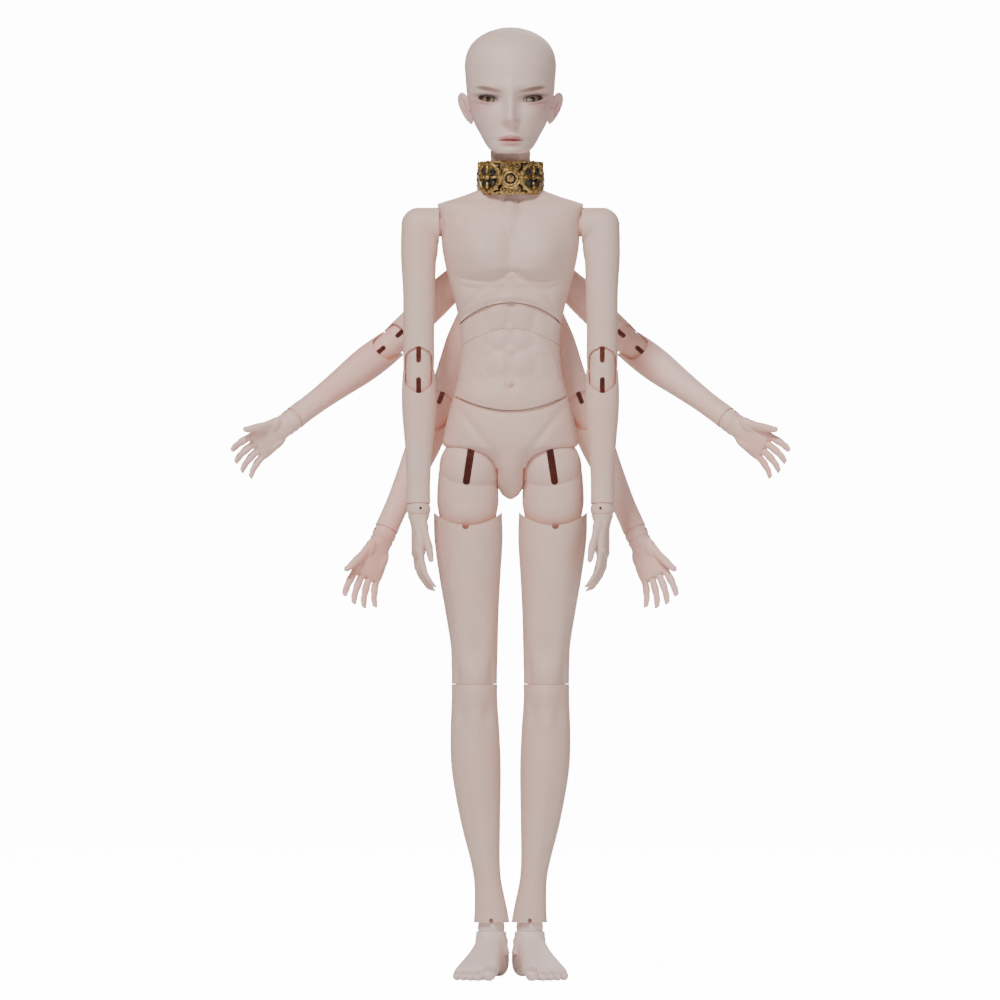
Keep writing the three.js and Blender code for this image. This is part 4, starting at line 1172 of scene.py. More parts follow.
    def bore_tool(self) -> Piece:
        """Makes the tool of the passage for the elastic."""
        return Bench.rod(self.at(0, 0, 379), self.at(0, 0, self.arm_height), self.bore, self.finishes.recess)

    def leg_room(self, side: Side) -> tuple[Piece, Piece]:
        """Makes the two tools that clear the pelvis for a hip piece."""
        s = side.sign
        cup = Bench.ball(self.at(s * 30, 0, self.hip_height), Vector((23.2, 25.2, 25.2)), self.finishes.socket, 64)
        low, high = sorted((s * 9.3, s * 80))
        below = Bench.block(self.at(low, -60, 340), self.at(high, 60, self.hip_height), self.finishes.socket)
        return cup, below

    def build_chest(self, chest: Piece) -> None:
        """Gives the chest the neck's ball and its sockets."""
        skin = self.finishes.socket
        Bench.cut(chest, self.chest_dome(0.9))
        Bench.cut(chest, self.bore_tool())
        Bench.add(chest, Bench.ball(self.at(0, 0, self.neck_top), self.neck_radius, self.finishes.skin, 64))
        Bench.cut(chest, Bench.rod(self.at(0, 0, 548), self.at(0, 0, 640), self.neck_bore, self.finishes.recess))
        for side in Side:
            s = side.sign
            start = self.at(s * self.shoulder_across, 0, self.arm_height)
            Bench.cut(chest, Bench.rod(start, self.at(s * 90, 0, self.arm_height), self.arm_round, skin, 64))
            low, high = sorted((s * (self.shoulder_across + 1), s * 80))
            Bench.cut(chest, Bench.block(self.at(low, -60, 541), self.at(high, 60, 600), skin))
            Bench.cut(chest, Bench.ball(self.at(s * 52.4, 0, self.arm_height), 8.9, skin))
            Bench.cut(chest, Bench.rod(self.at(0, 0, self.arm_height), start, self.arm_bore, self.finishes.recess))
            for pair in (ArmPair.UPPER, ArmPair.LOWER):
                place = self.skeleton.place(f"shoulder_{pair.value}_{side.label}")
                Bench.cut(chest, Bench.ball(place, 10.6, skin))
                elbow = self.skeleton.place(f"elbow_upper_{pair.value}_{side.label}")
                Bench.cut(chest, Bench.rod(place, place.lerp(elbow, 0.6), 12.4, skin, 64))
                Bench.cut(chest, Bench.rod(self.at(0, 0, place.z), place, self.arm_bore, self.finishes.recess))
        Bench.finish(chest, "chest", "resin", "chest")

    def build(self) -> None:
        """Makes the four pieces of the torso."""
        whole = Bench.shaped("torso", self.shape, self.finishes.skin, 160, 300)
        chest = Bench.cut(Bench.copy(whole, "chest_cast"), self.below_arch(0))
        abdomen = Bench.keep(Bench.copy(whole, "abdomen_cast"), self.below_arch(0.5))
        self.ease(whole, (chest, abdomen), lambda: self.below_arch(0.3), self.chest_height, self.chest_floor)
        self.build_chest(chest)
        inner = Bench.keep(Bench.copy(whole, "inner"), self.chest_dome(0))
        Bench.add(abdomen, inner)
        for side in Side:
            place = self.skeleton.place(f"shoulder_lower_{side.label}")
            Bench.cut(abdomen, Bench.ball(place, 13.4, self.finishes.socket))
        Bench.cut(abdomen, self.ball_seam(self.seam), self.bore_tool())
        Bench.finish(abdomen, "abdomen", "resin", "abdomen")
        belly = Bench.copy(whole, "belly_cast")
        Bench.cut(belly, self.below_waist(0.5))
        pelvis = Bench.keep(Bench.copy(whole, "pelvis_cast"), self.below_waist(0))
        self.ease(whole, (belly, pelvis), lambda: self.below_waist(0.2), self.waist_height, self.waist_floor)
        bowl = Bench.keep(Bench.copy(whole, "bowl"), self.waist_dome(0))
        Bench.add(belly, bowl)
        Bench.keep(belly, self.ball_seam(0))
        Bench.cut(belly, self.bore_tool())
        Bench.finish(belly, "belly", "resin", "belly")
        bpy.data.objects.remove(whole, do_unlink=True)
        Bench.cut(pelvis, self.waist_dome(0.9), self.bore_tool())
        for side in Side:
            Bench.cut(pelvis, *self.leg_room(side))
        Bench.finish(pelvis, "pelvis", "resin", "pelvis")


@dataclass
class Collar:
    """The gilt collar: a pierced band with rosettes all round, fixed to the chest."""

    finishes: Finishes
    skeleton: Skeleton
    low: float = 576.2
    high: float = 600.8
    inner: float = 20.4
    outer: float = 22.4
    rosettes: int = 8
    front_radius: float = 7.8
    side_radius: float = 11.8
    petals: int = 8

    @property
    def middle(self) -> Vector:
        """The collar's middle, in millimetres."""
        return Vector((0, self.skeleton.back, (self.low + self.high) / 2))

    def band(self) -> Piece:
        """Makes the dark band behind the ornament, with a gilt rim above and below."""
        low = Vector((0, self.middle.y, self.low))
        high = Vector((0, self.middle.y, self.high))
        reach = Vector((0, 0, 1))
        band = Bench.rod(low, high, self.outer, self.finishes.patina, 96)
        Bench.cut(band, Bench.rod(low - reach, high + reach, self.inner, self.finishes.patina, 96))
        rims = [
            Bench.ring(place, reach, self.outer - 0.2, 1.1, self.finishes.gilt, 96)
            for place in (low + reach, high - reach)
        ]
        return Bench.group("collar_band", [band, *rims])

    def rosette(self, radius: float, pierced: bool) -> Piece:
        """Models one rosette lying on the ground plane and facing up.

        Args:
            radius: its radius in millimetres.
            pierced: whether it has four piercings painted dark as painted shade in place of holes, or a wide ring round
                a dome.

        Returns:
            The rosette.
        """
        gilt, dark = self.finishes.gilt, self.finishes.patina
        up = Vector((0, 0, 1))
        parts = [Bench.rod(up * -0.9, up * 0.5, radius * 0.96, gilt, 40)]
        rim = 0.13 * radius
        parts.append(Bench.ring(up * 0.5, up, radius - rim, rim, gilt, 48))
        for k in range(self.petals * 2):
            turn = math.tau * k / (self.petals * 2)
            spot = Vector((math.cos(turn), math.sin(turn), 0)) * radius
            parts.append(Bench.ball(spot + up * 0.3, 0.09 * radius, gilt, 12))
        if pierced:
            for k in range(4):
                turn = math.tau * (k + 0.5) / 4
                spot = Vector((math.cos(turn), math.sin(turn), 0)) * radius * 0.52
                # Each piercing is a dark oval laid on the rosette, painted shade where a hole would be.
                parts.append(Bench.ball(spot + up * 0.25, Vector((0.2, 0.2, 0.09)) * radius, dark, 20))
                across = Vector((math.cos(turn + math.pi / 4), math.sin(turn + math.pi / 4), 0))
                leaf = Bench.ball(Vector(), Vector((0.26, 0.1, 0.13)) * radius, gilt, 20)
                leaf.data.transform(Matrix.Rotation(turn + math.pi / 4, 4, "Z"))
                leaf.data.transform(Matrix.Translation((across * radius * 0.5 + up * 0.6) * MM))
                parts.append(leaf)
            parts.append(Bench.ball(up * 0.6, Vector((0.16, 0.16, 0.14)) * radius, gilt, 20))
        else:
            parts.append(Bench.rod(up * 0.4, up * 0.62, radius * 0.74, dark, 40))
            parts.append(Bench.ring(up * 0.9, up, radius * 0.62, radius * 0.13, gilt, 48))
            for k in range(self.petals):
                turn = math.tau * k / self.petals
                spot = Vector((math.cos(turn), math.sin(turn), 0)) * radius * 0.25
                parts.append(Bench.ball(spot + up * 0.8, radius * 0.12, gilt, 16))
            parts.append(Bench.ball(up * 0.9, Vector((0.2, 0.2, 0.16)) * radius, gilt, 24))
        return Bench.group("collar_rosette", parts)

    def place(self, piece: Piece, turn: float, lift: float, radius: float) -> Piece:
        """Bends a flat ornament round the band.

        Args:
            piece: the ornament, facing up at the origin.
            turn: where it goes round the neck, from the front middle.
            lift: how far above the collar's middle it goes, in millimetres.
            radius: how far from the neck's middle its face lies.

        Returns:
            The ornament in its place.
        """
        for vertex in piece.data.vertices:
            x, y, z = vertex.co / MM
            angle = turn + x / radius
            reach = radius + z
            around = Vector((math.sin(angle) * reach, -math.cos(angle) * reach, y + lift))
            vertex.co = (self.middle + around) * MM
        return piece

    def build(self) -> None:
        """Makes the band and sets the ornament round it."""
        parts = [self.band()]
        front = self.rosette(self.front_radius, pierced=False)
        side = self.rosette(self.side_radius, pierced=True)
        link = self.rosette(3.0, pierced=False)
        gilt, silver = self.finishes.gilt, self.finishes.silver
        step = math.tau / self.rosettes
        for k in range(self.rosettes):
            large = k % 2 == 1
            ornament = Bench.copy(side if large else front, "collar_part")
            if not large and k:
                for slot in ornament.material_slots:
                    slot.material = silver if slot.material == gilt else slot.material
            parts.append(self.place(ornament, k * step, 0 if large else -1, self.outer + 0.9))
            if not large:
                for lift in (-10.2, 9.4):
                    for shift in (-4.4, 0, 4.4):
                        crown = Bench.copy(link, "collar_part")
                        drop = abs(shift) * 0.25 * (1 if lift < 0 else -1)
                        turn = k * step + shift / self.outer
                        parts.append(self.place(crown, turn, lift + drop, self.outer + 0.8))
        for model in (front, side, link):
            bpy.data.objects.remove(model, do_unlink=True)
        Bench.finish(Bench.group("neck_collar", parts), "chest", "gilt_brass", "collar")


@dataclass
class Head:
    """The head: face with glass eyes and ears, the lift-off cap, and the hook inside."""

    finishes: Finishes
    skeleton: Skeleton
    chin: float = 605.7
    crown: float = 700
    half_width: float = 33.7
    half_depth: float = 42
    wall: float = 4
    seam_height: float = 674
    seam_tilt: float = 39
    eye_apart: float = 16.4
    eye_height: float = 645.4
    eye_forward: float = 31
    eye_lean: float = 32
    eye_radius: float = 8
    eye_half_width: float = 7.3
    eye_half_height: float = 2.5
    eye_slant: float = 1.1
    upper_lid: float = 1.12
    ear_height: float = 640
    socket_radius: float = 14.9

    ROWS = (
        (0, 0.3, 0.2, -0.66), (0.035, 0.45, 0.46, -0.44), (0.08, 0.545, 0.63, -0.28),
        (0.15, 0.65, 0.74, -0.18), (0.24, 0.785, 0.83, -0.1), (0.34, 0.88, 0.92, -0.03),
        (0.46, 0.95, 0.97, 0.01), (0.6, 0.985, 1, 0.01), (0.72, 1, 0.98, 0.02),
        (0.82, 0.93, 0.88, 0.03), (0.9, 0.77, 0.7, 0.04), (0.96, 0.51, 0.45, 0.04),
        (0.99, 0.25, 0.23, 0.04), (1, 0.1, 0.09, 0.04),
    )
    # Across, height, spread across, spread up and rise of each form of the face, in millimetres
    FORMS = (
        (0, 646, 3.4, 8, 2.6), (0, 636, 3.0, 7, 4.6), (0, 630.4, 3.2, 3.4, 5.4), (3.7, 629.2, 2.0, 2.0, 2.6),
        (0, 652, 6, 6, 0.9), (15.5, 654.6, 9, 3.2, 2.4), (17, 646, 6.6, 4.4, -3.6), (9, 644.6, 3.2, 3.8, -3.0),
        (16.4, 649.6, 7.0, 1.4, 1.0), (16.4, 641.4, 6.4, 1.4, 0.8), (16.8, 637.4, 7.2, 1.8, -0.5),
        (22, 634, 7.5, 6.5, 2.6), (0, 616, 8.4, 4.6, 2.4), (0, 617.4, 5.6, 1.3, 0.9), (2.6, 618.2, 1.9, 1.0, 0.6),
        (0, 612.9, 5.0, 1.5, 1.5), (0, 615.2, 8.2, 0.62, -1.4), (9.6, 614.2, 1.6, 1.6, -0.9),
        (0, 622.3, 1.3, 2.6, -0.7), (1.9, 622.3, 0.8, 2.4, 0.3), (0, 610.2, 5.4, 1.1, -0.9),
        (0, 607.6, 6.5, 2.2, 2.0), (13, 618, 3.6, 6, -0.6), (5.2, 627.6, 1.0, 2.4, -0.8),
        (0, 672, 18, 10, 0.8), (27, 655, 4, 10, -0.9), (17, 612, 7, 4, 0.8),
    )

    @property
    def back(self) -> float:
        """How far the doll's middle lies behind the origin."""
        return self.skeleton.back

    def at(self, x: float, y: float, z: float) -> Vector:
        """Gives a point set back with the doll's own middle."""
        return Vector((x, y + self.back, z))

    def shape(self, up: float, turn: float) -> Vector:
        """Places one point of the whole head with its face."""
        span = self.crown - self.chin
        share = self.station(up)
        wide, deep, back = along(self.ROWS, share)
        z = self.chin + share * span
        close = min(1.0, up / 0.006, (1 - up) / 0.006)
        crowded = turn - 0.3 * math.cos(turn)
        x = self.half_width * wide * math.cos(crowded) * close
        y = self.half_depth * (back + deep * math.sin(crowded) * close)
        facing = max(0.0, -math.sin(crowded)) ** 1.6
        out = self.relief(x, z)
        return self.at(x, y - out * facing * close, z)

    def relief(self, x: float, z: float) -> float:
        """Gives how far the forms of the face stand out, the same on both sides."""
        return sum(
            rise * bell(z - b, sb) * (bell(x - a, sa) + (bell(x + a, sa) if a else 0))
            for a, b, sa, sb, rise in self.FORMS
        )

    def station(self, up: float) -> float:
        """Spreads the rows so that the face has more of them than the crown."""
        return up - 0.05 * math.sin(math.tau * up)

    def hollow(self, up: float, turn: float) -> Vector:
        """Places one point of the room inside the head."""
        share = 0.1 + 0.86 * up
        wide, deep, back = along(self.ROWS, share)
        close = math.sqrt(max(0.0, 1 - (2 * up - 1) ** 6))
        x = (self.half_width * wide - self.wall) * math.cos(turn) * close
        y = self.half_depth * back + (self.half_depth * deep - self.wall - 1) * math.sin(turn) * close
        return self.at(x, y, self.chin + share * (self.crown - self.chin))

    def below_cap(self, gap: float) -> Piece:
        """Makes the solid below the sloping seam of the cap."""
        slope = math.tan(math.radians(self.seam_tilt))

        def seam(_: float, y: float) -> float:
            """Gives the height of the seam from front to back."""
            return self.seam_height - gap - slope * (y - self.back)

        return Bench.slab(seam, (60, 70), 560, self.finishes.socket, (4, 24))

    def opening(self, side: Side) -> Piece:
        """Makes the almond-shaped tool of an eye opening.

        Args:
            side: which eye.

        Returns:
            The tool, which reaches in from the front of the face.
        """
        Bench.clear()
        bpy.ops.mesh.primitive_cylinder_add(
            vertices=48, radius=1, depth=30 * MM, rotation=(math.pi / 2, 0, 0)
        )
        tool = Bench.bake(Bench.take("eye opening", self.finishes.face))
        for vertex in tool.data.vertices:
            across, lift = vertex.co.x, vertex.co.z
            upper = lift > 0
            bow = abs(lift) ** (0.9 if upper else 1.25)
            tall = self.eye_half_height * (self.upper_lid if upper else 0.8) * bow * (1 if upper else -1)
            slant = self.eye_slant * across
            x = self.eye_apart + self.eye_half_width * across
            y = vertex.co.y / MM - self.eye_forward - 7
            vertex.co = self.at(side.sign * x, y, self.eye_height + slant + tall) * MM
        if side is Side.RIGHT:
            tool.data.flip_normals()
        return tool

    def ear(self) -> Piece:
        """Models the left ear with its rim, its bowl and its lobe."""
        skin = self.finishes.face

        def lobe(up: float, turn: float) -> Vector:
            """Places one point of the ear's outline, facing along X."""
            tall = math.cos(math.pi * up)
            wide = math.sin(math.pi * up)
            taper = 1 + 0.8 * (up - 0.5)
            y = 6.1 * wide * taper * math.cos(turn) - 1.6 * (up - 0.5)
            x = 2.1 * wide * math.sin(turn)
            return Vector((x, y, -tall * 12.4))

        ear = Bench.shaped("ear", lobe, skin, 40, 40)
        bowl = Bench.ball(Vector((2.5, 0, 2.2)), Vector((1.9, 3.9, 7.6)), skin, 40)
        Bench.cut(ear, bowl)
        Bench.add(ear, Bench.ball(Vector((0.9, 0.8, 2.6)), Vector((1.3, 1.3, 5.0)), skin, 24))
        Bench.add(ear, Bench.ball(Vector((1.2, -4.2, -1.6)), Vector((1.3, 1.3, 1.9)), skin, 20))
        turn = Matrix.Rotation(math.radians(22), 4, "Y") @ Matrix.Rotation(math.radians(-42), 4, "Z")
        ear.data.transform(turn)
        ear.data.transform(Matrix.Translation(self.at(32.6, 3.2, self.ear_height) * MM))
        return ear

    def eye(self, side: Side) -> Piece:
        """Makes a glass eye, an oval that follows the slope of the face, with its rounded cornea."""
        lean = side.sign * math.radians(self.eye_lean)
        forward = Vector((math.sin(lean), -math.cos(lean), 0))
        front = self.at(side.sign * self.eye_apart, -self.eye_forward, self.eye_height)
        place = front - forward * self.eye_radius
        finish = self.finishes.eyes[side]
        ball = Bench.ball(Vector(), Vector((1.3, 1, 1)) * self.eye_radius, finish, 64, f"glass_eye_{side.label}")
        Bench.add(ball, Bench.ball(Vector((0, -0.36, 0)) * self.eye_radius, self.eye_radius * 0.68, finish, 48))
        ball.data.transform(Matrix.Translation(place * MM) @ Matrix.Rotation(lean, 4, "Z"))
        return ball

    def lashes(self, side: Side) -> Piece:
        """Makes the dark strip of lashes along the upper lid."""
        Bench.clear()
        bpy.ops.mesh.primitive_torus_add(major_radius=1, minor_radius=0.06, major_segments=64, minor_segments=6)
        strip = Bench.take(f"lashes_{side.label}", self.finishes.lash)
        for vertex in strip.data.vertices:
            turn = math.atan2(vertex.co.y, vertex.co.x)
            fine = Vector((math.hypot(vertex.co.x, vertex.co.y) - 1, vertex.co.z)) / 0.06
            share = abs(turn) / math.pi * 2 - 1
            bow = math.sqrt(max(0.0, 1 - share**2)) ** 0.9
            x = self.eye_apart + (self.eye_half_width + 0.35) * share + fine.x * 0.05
            z = self.eye_height + self.eye_slant * share + self.eye_half_height * self.upper_lid * bow
            thick = 0.34 * (1 - 0.6 * abs(share))
            y = self.front(x, z) - 0.1 - 0.5 * (1 if turn > 0 else -1)
            vertex.co = Vector((side.sign * x, y + thick * fine.x, z + thick * fine.y)) * MM
        return strip

    def front(self, x: float, z: float) -> float:
        """Gives how far forward the face lies at a place seen from the front."""
        share = (z - self.chin) / (self.crown - self.chin)
        wide, deep, back = along(self.ROWS, share)
        across = min(1.0, abs(x) / (self.half_width * wide))
        facing = math.sqrt(1 - across**2)
        out = self.relief(x, z)
        return self.back + self.half_depth * (back - deep * facing) - out * facing**1.6

    def hook(self) -> Piece:
        """Makes the hook that holds the head on the elastic."""
        steel = self.finishes.silver
        floor = self.skeleton.place("head_turn").z + 19
        low = self.at(0, 0, floor - 44)
        parts = [
            Bench.rod(self.at(0, 0, floor), self.at(0, 0, floor + 2.4), 9.4, steel, 48),
            Bench.rod(low, self.at(0, 0, floor + 1), 1.4, steel, 20),
            Bench.ring(low - Vector((0, 0, 2.8)), Vector((0, 1, 0)), 2.8, 1.1, steel),
            Bench.ring(self.at(0, 0, floor + 2.4), Vector((0, 0, 1)), 8.6, 0.8, steel),
        ]
        return Bench.group("hook", parts)

    def build(self) -> None:
        """Makes every piece of the head."""
        whole = Bench.shaped("head_cast", self.shape, self.finishes.face, 256, 280)
        Bench.cut(whole, Bench.shaped("hollow", self.hollow, self.finishes.socket, 64, 48))
        cap = Bench.copy(whole, "head_cap_cast")
        Bench.cut(cap, self.below_cap(0))
        Bench.finish(cap, "head_cap", "resin", "head_cap")
        face = Bench.keep(whole, self.below_cap(0.3))
        neck = self.skeleton.place("head_turn")
        Bench.cut(face, Bench.ball(neck, self.socket_radius + 0.4, self.finishes.socket, 64))
        Bench.cut(face, Bench.rod(neck, neck + Vector((0, 0, 24)), 8.2, self.finishes.recess))
        ear = self.ear()
        for side in Side:
            twin = Bench.copy(ear, "ear_twin")
            Bench.add(face, twin if side is Side.LEFT else Bench.mirror(twin))
            Bench.cut(face, self.opening(side))
            Bench.finish(self.eye(side), "head", "eye_glass", f"eye_{side.label}")
            Bench.finish(self.lashes(side), "head", "resin")
        bpy.data.objects.remove(ear, do_unlink=True)
        Bench.finish(face, "head", "resin", "head_face")
        Bench.finish(self.hook(), "neck_hook", "steel_hook", "neck_hook")


@dataclass
class Limb:
    """Shapes that arms and legs share, each in its joint's own frame with the limb along -Z."""

    rows: Sequence[Row]
    bottom: float
    top: float
    half_width: float
    half_depth: float
    forms: Sequence[Row] = ()
    power: float = 0.96
    end: float = 0.01

    def shape(self, up: float, turn: float) -> Vector:
        """Places one point of the limb.

        Args:
            up: the share of the way up.
            turn: the turn round the limb.

        Returns:
            The point in millimetres.
        """
        close = min(1.0, up / self.end, (1 - up) / self.end)
        share = min(max((up - self.end) / (1 - 2 * self.end), 0), 1)
        wide, deep, *shifts = along(self.rows, share)
        aside, back = shifts if shifts else (0, 0)
        z = self.bottom + share * (self.top - self.bottom)
        across, along_y = boxy(math.cos(turn), self.power), boxy(math.sin(turn), self.power)
        out = 1.0
        for angle, height, wide_spread, tall_spread, rise in self.forms:
            apart = math.remainder(turn - math.radians(angle), math.tau)
            out += rise * bell(apart, math.radians(wide_spread)) * bell(z - height, tall_spread)
        x = self.half_width * (aside + wide * across * out * close)
        y = self.half_depth * (back + deep * along_y * out * close)
        return Vector((x, y, z))

    def make(self, name: str, material: Material, segments: int = 72, rings: int = 96) -> Piece:
        """Makes the limb, whose first and last rows of points close its flat ends."""
        self.end = 1 / rings
        return Bench.shaped(name, self.shape, material, segments, rings)


@dataclass
class Hinge:
    """A double hinge: two balls on one bar, and the room that it needs in the limbs."""

    radius: float
    span: float
    bore: float
    slot_width: float
    slot_length: float
    facing: int
    flex: float
    finishes: Finishes
    clearance: float = 0.2
    window: float = 0.6

    def link(self, name: str, material: Material) -> Piece:
        """Makes the link, with its upper ball at the origin and its lower ball below.

        Args:
            name: the link's name.
            material: its finish.

        Returns:
            The link.
        """
        low = Vector((0, 0, -self.span))
        link = Bench.ball(Vector(), self.radius, material, 64, name)
        Bench.add(link, Bench.ball(low, self.radius, material, 64))
        Bench.add(link, Bench.rod(low, Vector(), self.radius * 0.985, material, 64))
        reach = Vector((0, 0, 2 * self.radius))
        Bench.cut(link, Bench.rod(low - reach, reach, self.bore, self.finishes.recess))
        for middle in (Vector(), low):
            Bench.cut(
                link,
                Bench.slot(
                    middle, self.slot_width, self.slot_length, 2 * self.radius, 0, self.facing, self.finishes.recess
                ),
            )
        return link

    def room(self, pivot: Vector, lobe: float, way: int) -> list[Piece]:
        """Makes the tools that clear a limb for the link as it folds.

        Args:
            pivot: the limb's pivot in millimetres.
            lobe: the radius of the limb's rounded end at the sides.
            way: 1 where the link goes up from the limb, -1 where it goes down.

        Returns:
            The tools.
        """
        material = self.finishes.socket
        clear = self.radius + self.clearance
        far = 2 * self.span
        places = [pivot]
        steps = 4
        for k in range(steps + 1):
            angle = math.radians(self.flex) * k / steps
            places.append(pivot + Vector((0, self.facing * math.sin(angle), way * math.cos(angle))) * self.span)
        outward = Vector((0, self.facing * far, 0))
        tools = [
            Bench.hull(places, clear, material),
            Bench.rod(pivot, pivot + outward, self.window * self.radius, material, 64),
        ]
        low = Vector((-far, min(0, self.facing * far), min(0, way * far)))
        high = Vector((far, max(0, self.facing * far), max(0, way * far)))
        notch = Bench.block(pivot + low, pivot + high, material)
        side = Vector((2 * far, 0, 0))
        Bench.cut(notch, Bench.rod(pivot - side, pivot + side, lobe - 0.3, material, 64))
        tools.append(notch)
        return tools


@dataclass
class Hand:
    """A hand with the palm to -X and the thumb to -Y, modelled once for all six arms."""

    finishes: Finishes
    palm_length: float = 31
    palm_width: float = 24
    palm_thickness: float = 9.4
    finger_length: float = 31
    finger_radius: float = 3.0
    finger_spread: float = 6.8
    thumb_length: float = 27
    thumb_radius: float = 3.4
    wrist_radius: float = 8.8
    rim_drop: float = 4.3
    voxel: float = 0.5

    PALM = (
        (0, 0.78, 0.97), (0.12, 0.98, 1.03), (0.45, 1.05, 0.97), (0.7, 1.12, 0.78), (0.86, 1.4, 0.68), (1, 1.74, 0.71),
    )
    FINGERS = ((-0.76, 0.93), (-0.26, 1), (0.24, 0.95), (0.73, 0.76))
    FINGER = (
        (0, 0, 1.08), (0.2, 0.015, 0.94), (0.4, 0.05, 1.02), (0.55, 0.1, 0.86), (0.72, 0.18, 0.9),
        (0.86, 0.27, 0.74), (0.95, 0.335, 0.62), (1, 0.37, 0.42),
    )
    THUMB = (
        (0, 0, 1.15), (0.25, 0.05, 0.94), (0.5, 0.1, 1.02), (0.75, 0.12, 0.86), (0.93, 0.137, 0.66), (1, 0.14, 0.45),
    )

    def digit(
        self, rows: Sequence[Row], root: Vector, length: float, radius: float, spread: float
    ) -> list[Piece]:
        """Makes a finger or thumb and its nail.

        Args:
            rows: stations down the digit with its curl and its width.
            root: where it starts, in millimetres.
            length: its length.
            radius: its radius at the root.
            spread: how far it leans aside.

        Returns:
            The digit and the nail.
        """
        def middle(share: float) -> tuple[Vector, float]:
            """Gives the middle and the radius at a share of the way down."""
            curl, wide = along(rows, share)
            drop = Vector((-curl * length, share * spread, -share * length * math.cos(curl)))
            return root + drop, wide * radius

        def shape(up: float, turn: float) -> Vector:
            """Places one point of the digit."""
            share = 1 - up
            place, wide = middle(share)
            close = math.sqrt(max(0.0, 1 - max(0.0, (share - 0.93) / 0.07) ** 2))
            close *= min(1.0, up / 0.001) * min(1.0, share / 0.01)
            return place + Vector((0.9 * wide * math.cos(turn) * close, wide * math.sin(turn) * close, 0))

        digit = Bench.shaped("digit", shape, self.finishes.skin, 24, 40)
        place, wide = middle(0.88)
        ahead, _ = middle(0.98)
        nail = Bench.ball(Vector(), Vector((0.35, 0.72 * wide, 2.1)), self.finishes.socket, 20)
        lean = Vector((0, 0, 1)).rotation_difference(place - ahead).to_matrix().to_4x4()
        nail.data.transform(Matrix.Translation((place + Vector((0.84 * wide, 0, 0))) * MM) @ lean)
        return [digit, nail]

    def build(self) -> Piece:
        """Models the hand.

        Returns:
            The hand, with the wrist's middle at the origin.
        """
        skin = self.finishes.skin
        top = -self.rim_drop
        low = top - self.palm_length
        palm = Limb(self.PALM, low, top, self.palm_thickness / 2, self.palm_width / 2, power=0.8)
        flesh, nails = [palm.make("hand", skin, 48, 48)], []
        flesh.append(Bench.ball(Vector((-2.2, -7.0, -15.5)), Vector((4.2, 4.8, 8.6)), skin, 24))
        flesh.append(Bench.ball(Vector((-1.8, 6.8, -20)), Vector((3.6, 4.2, 9.6)), skin, 24))
        half = self.palm_width / 2
        for place, share in self.FINGERS:
            root = Vector((0, place * half, low + self.finger_radius))
            digit, nail = self.digit(
                self.FINGER, root, self.finger_length * share, self.finger_radius, place * self.finger_spread
            )
            flesh += [digit, Bench.ball(root + Vector((1.3, 0, 0.6)), 2.9, skin, 20)]
            nails.append(nail)
        root = Vector((-self.palm_thickness / 4, -self.palm_width / 3, top - self.palm_length / 3))
        digit, nail = self.digit(self.THUMB, root, self.thumb_length, self.thumb_radius, -half)
        nail.data.transform(Matrix.Translation(Vector((-0.4, -0.6, 0)) * MM))
        flesh.append(digit)
        nails.append(nail)
        hand = Bench.melt(Bench.group("hand", flesh), self.voxel, 6)
        Bench.cut(hand, Bench.ball(Vector(), self.wrist_radius + 0.4, self.finishes.socket, 64))
        return Bench.group("hand", [hand, *nails])


